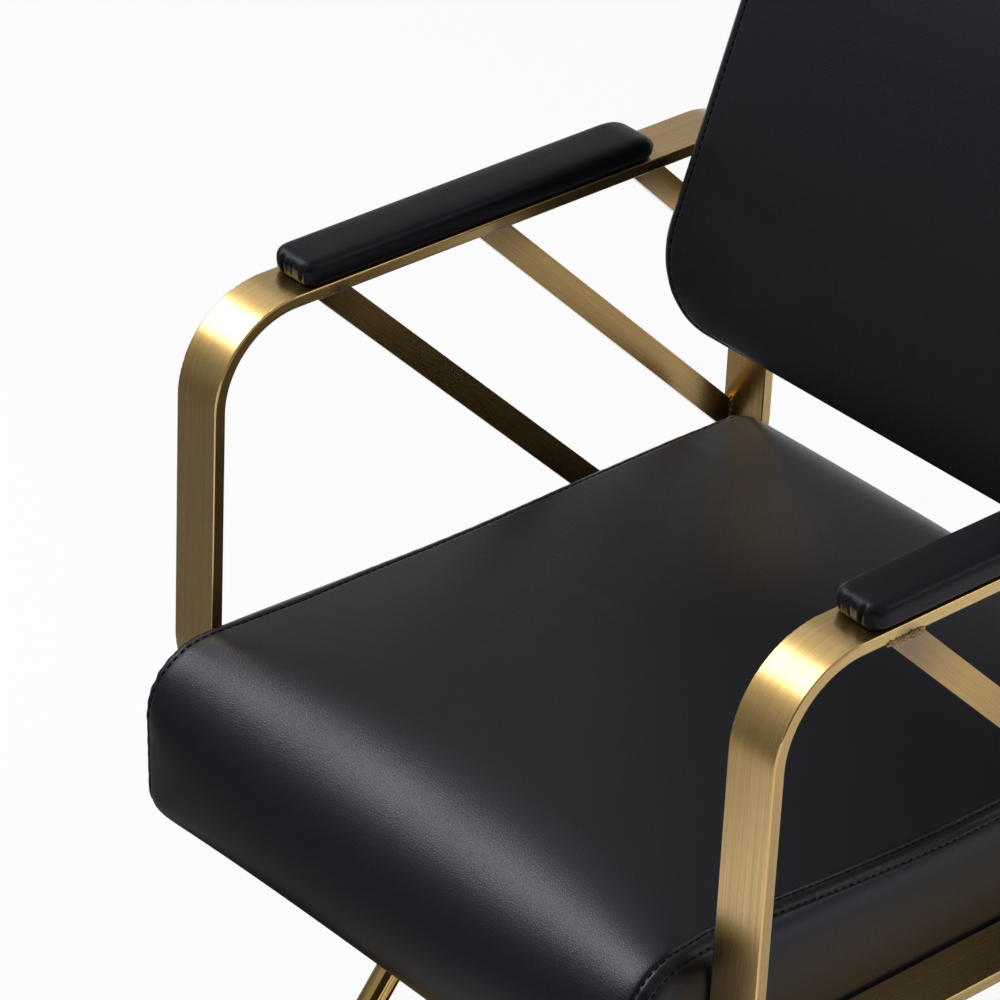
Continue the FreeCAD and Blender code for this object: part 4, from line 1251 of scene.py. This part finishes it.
# %% Stuff and sew the back
BACK_PINNED_RINGS = 7
BACK_PRESSURE, BACK_MOVE = 3.0, 0.006
BACK_GATHERS = ([(0, 7), (70, 7), (132, 7), (202, 7)], 0.00008, 2.0)

pinned = sewn_points(back_cover)
pinned[: BACK_PINNED_RINGS * BACK_AROUND] = True
pinned[len(back_layers) * BACK_AROUND :][: (BACK_SIDES[0] - 1) * (BACK_SIDES[1] - 1)] = True
swell_with_cloth(back_cover, pinned, BACK_PRESSURE, BACK_MOVE)
back_row, = sewn_rows(back_cover, back_layers, BACK_AROUND, (ROW_OFF,))
back_mesh = pressed("back_cushion_cover", back_cover, BACK_AROUND, BACK_GATHERS)
add_cushion("back_cushion_cover", back_mesh, leather, "back_cushion")
add_stitches("back_stitches", closed(back_row), ground_of(back_mesh), ROW_SINK)

# %% [markdown]
# ## The arm pads
# A narrow pad with a flat top and a tight edge. The cover is pulled down round the ends, so the front shows
# one deep fold and a few small pleats. The pads are firm and thin: cloth would hardly move them, so they are
# shaped ring by ring, and the pleats are pressed into the end with the same smooth bumps.

# %% Arm pads
PAD_LONG, PAD_WIDE, PAD_HIGH = 0.312, 0.041, 0.0183
PAD_START = -0.135
PAD_END = PAD_START + PAD_LONG
PAD_FOOT, PAD_MIDDLE = 0.357, 0.263
PAD_CORNER, PAD_CORNER_LEAST = 0.011, 0.0025
PAD_SIDES = (22, 90)
PAD_WALL = [(0.0, 0.0036), (0.0014, 0.0020), (0.0036, 0.0008), (0.0062, 0.0002), (0.0092, 0.0), (0.0112, 0.0)]
PAD_ROLL, PAD_ROLL_TURNS = 0.0070, [0, 12, 24, 36, 48, 60, 70, 78]
PAD_TOP_RISE, PAD_TOP_INSET, PAD_DOME = 0.0003, 0.0016, 0.0008
PAD_FOLDS = [(-0.0070, 0.0038, 0.0014), (0.0120, 0.0018, 0.0013), (0.0030, 0.0007, 0.0011)]
FOLD_FOOT, FOLD_CLEAR, FOLD_FADE, FOLD_REACH = 0.004, 0.001, 0.007, 0.006
FOLD_FACING, FOLD_LEAN, FOLD_UPRIGHT_AT = 1.5, 0.12, 0.010
RIDGE_SHARE, RIDGE_WIDTH = 0.45, 3.2
PAD_REAR_DROP, PAD_REAR_RUN = 0.0045, 0.024


def pad_rings():
    """Rings from the tucked-in foot up the wall, and over the roll to the flat top."""
    rows = PAD_WALL + rolled(PAD_HIGH - PAD_ROLL, PAD_ROLL, PAD_ROLL_TURNS)
    for high, inset in rows + [(rows[-1][0] + PAD_TOP_RISE, rows[-1][1] + PAD_TOP_INSET)]:
        half, start, end = 0.5 * PAD_WIDE - inset, PAD_START + inset, PAD_END - inset
        corners = [(-half, start), (half, start), (half, end), (-half, end)]
        ring = rounded_ring(corners, [max(PAD_CORNER - inset, PAD_CORNER_LEAST)] * 4, PAD_SIDES * 2)
        yield np.column_stack([ring, np.full(len(ring), high)])


def folded(at, normal):
    """The pad's points with the fold and the pleats pressed into both ends."""
    upright = np.clip(1.0 - np.abs(normal[:, 2]), 0, 1) * np.clip(at[:, 2] / FOLD_FOOT, 0, 1)
    fade = np.clip((PAD_HIGH + FOLD_CLEAR - at[:, 2]) / FOLD_FADE, 0, 1)
    for end, face in ((PAD_START, -1.0), (PAD_END, 1.0)):
        near = bell(at[:, 1] - end, FOLD_REACH) * np.clip(face * normal[:, 1] * FOLD_FACING, 0, 1)
        for spot, deep, half in PAD_FOLDS:
            aside = at[:, 0] - spot - FOLD_LEAN * (at[:, 2] - FOLD_UPRIGHT_AT) * (1 if spot > 0 else -1)
            crease = bell(aside, half) - RIDGE_SHARE * bell(aside, RIDGE_WIDTH * half)
            at = at - normal * (deep * crease * near * fade * upright)[:, None]
    return at


def add_pad(side, sign):
    name = "arm_pad_cover_" + side
    mesh = divided(name, outward(stacked(name, list(pad_rings()), PAD_SIDES, ((0, 0, 0), (0, 0, PAD_DOME)))))
    at = folded(point_places(mesh), normals_of(mesh))
    rear = np.clip((at[:, 1] - (PAD_END - PAD_REAR_RUN)) / PAD_REAR_RUN, 0, 1) ** 2
    at[:, 2] -= PAD_REAR_DROP * rear * at[:, 2] / PAD_HIGH
    at[:, 0] = sign * (PAD_MIDDLE - at[:, 0])
    at[:, 2] += PAD_FOOT
    set_places(mesh, seat_to_room(at))
    add_cushion(name, outward(mesh), pad_leather, "arm_pad_" + side)


for side, sign in (("left", -1.0), ("right", 1.0)):
    add_pad(side, sign)

# %% [markdown]
# ## Weld beads and piping
# The slanted bars are welded into the loops. A weld is a row of overlapping puddles, so each bead is a thin
# tube round the bar's end whose girth swells and shrinks. A round of leather piping hides the joint between
# the back cushion and its board. Both are the same thing to build: a closed path with a changing radius. They
# could be curves with a bevel, but a mesh lets every ring of the tube have its own size.

# %% A tube along a closed path
TUBE_FACETS = 8


def tube_mesh(name, path, girths, upwards):
    """A closed tube. Each path point has its own girth, and one direction counts as up."""
    count = len(path)
    points, faces = [], []
    for i in range(count):
        ahead = unit(path[(i + 1) % count] - path[i - 1])
        side = unit(np.cross(ahead, upwards))
        up = np.cross(side, ahead)
        for turn in np.arange(TUBE_FACETS) * math.tau / TUBE_FACETS:
            points.append(path[i] + girths[i] * (math.cos(turn) * side + math.sin(turn) * up))
        faces += belt(i * TUBE_FACETS, (i + 1) % count * TUBE_FACETS, TUBE_FACETS)
    return outward(mesh_of(name, points, faces))


print("a tube has", TUBE_FACETS, "sides")

# %% Weld beads
BRACE_WIDE, BRACE_THICK, BRACE_OUT = 0.020, 0.008, 0.279
BEAD_GIRTH, BEAD_LEAST, BEAD_MOST = 0.0018, 0.0008, 0.0032
BEAD_POINTS = 96
BEAD_RIPPLE, BEAD_RIPPLE_STEP, BEAD_UNEVEN = 0.28, 1.9, 0.2


def add_beads(side, sign, chance):
    half = 0.5 * BRACE_THICK
    points, faces = [], []
    for deep, high, upright in brace_ends():
        run = 0.5 * BRACE_WIDE / (math.cos(BRACE_SLOPE) if upright else math.sin(BRACE_SLOPE))
        along = np.array((0, 0, run) if upright else (0, run, 0))
        square = [(x, 0, 0) + r * along for x, r in ((-half, -1), (half, -1), (half, 1), (-half, 1))]
        path = evenly(closed(np.array((sign * BRACE_OUT, deep, high)) + square), BEAD_POINTS)
        ripple = np.sin(np.arange(BEAD_POINTS) * BEAD_RIPPLE_STEP + chance.uniform(0, 6))
        girth = BEAD_GIRTH * (1 + BEAD_RIPPLE * ripple)
        girth *= 1 + BEAD_UNEVEN * chance.standard_normal(BEAD_POINTS)
        up = (0, -1, 0) if upright else (0, 0, -1 if high > LOOP_MIDDLE[1] else 1)
        bead = tube_mesh("bead", seat_to_room(path), np.clip(girth, BEAD_LEAST, BEAD_MOST), up)
        faces += [[len(points) + i for i in face.vertices] for face in bead.polygons]
        points += list(point_places(bead))
        bpy.data.meshes.remove(bead)
    mesh = mesh_of("weld_beads_" + side, points, faces)
    mesh.shade_smooth()
    add_piece("weld_beads_" + side, mesh, weld_gold)


weld_gold = make_polished("weld_gold", (0.16, 0.10, 0.045, 1), (0.46, 0.32, 0.15, 1), 0.28, 0.5)
chance = np.random.default_rng(7)
for side, sign in (("left", -1.0), ("right", 1.0)):
    add_beads(side, sign, chance)

# %% Piping round the back board
PIPING_GIRTH, PIPING_INSET, PIPING_BEHIND = 0.0026, 0.0158, 0.0002
PIPING_POINTS = 420

outline = back_outline(PIPING_INSET)
piping_line = np.column_stack([outline[:, 0], np.full(len(outline), PIPING_BEHIND), outline[:, 1]])
piping_path = evenly(closed(back_to_room(piping_line)), PIPING_POINTS)
piping = tube_mesh("back_piping", piping_path, np.full(PIPING_POINTS, PIPING_GIRTH), back_way(1))
add_piece("back_piping", piping, leather)

# %% [markdown]
# ## Measuring
# The dressed chair is measured against the solids it came from, and how much its box grew is printed.
# The dressed chair may not grow much beyond the solids it came from.

# %% Measure and close
visual_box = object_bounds()
grown = [tuple(round((v - c) * 1000, 1) for v, c in zip(*pair)) for pair in zip(visual_box, cad_box)]
print("box grew by", grown, "mm")
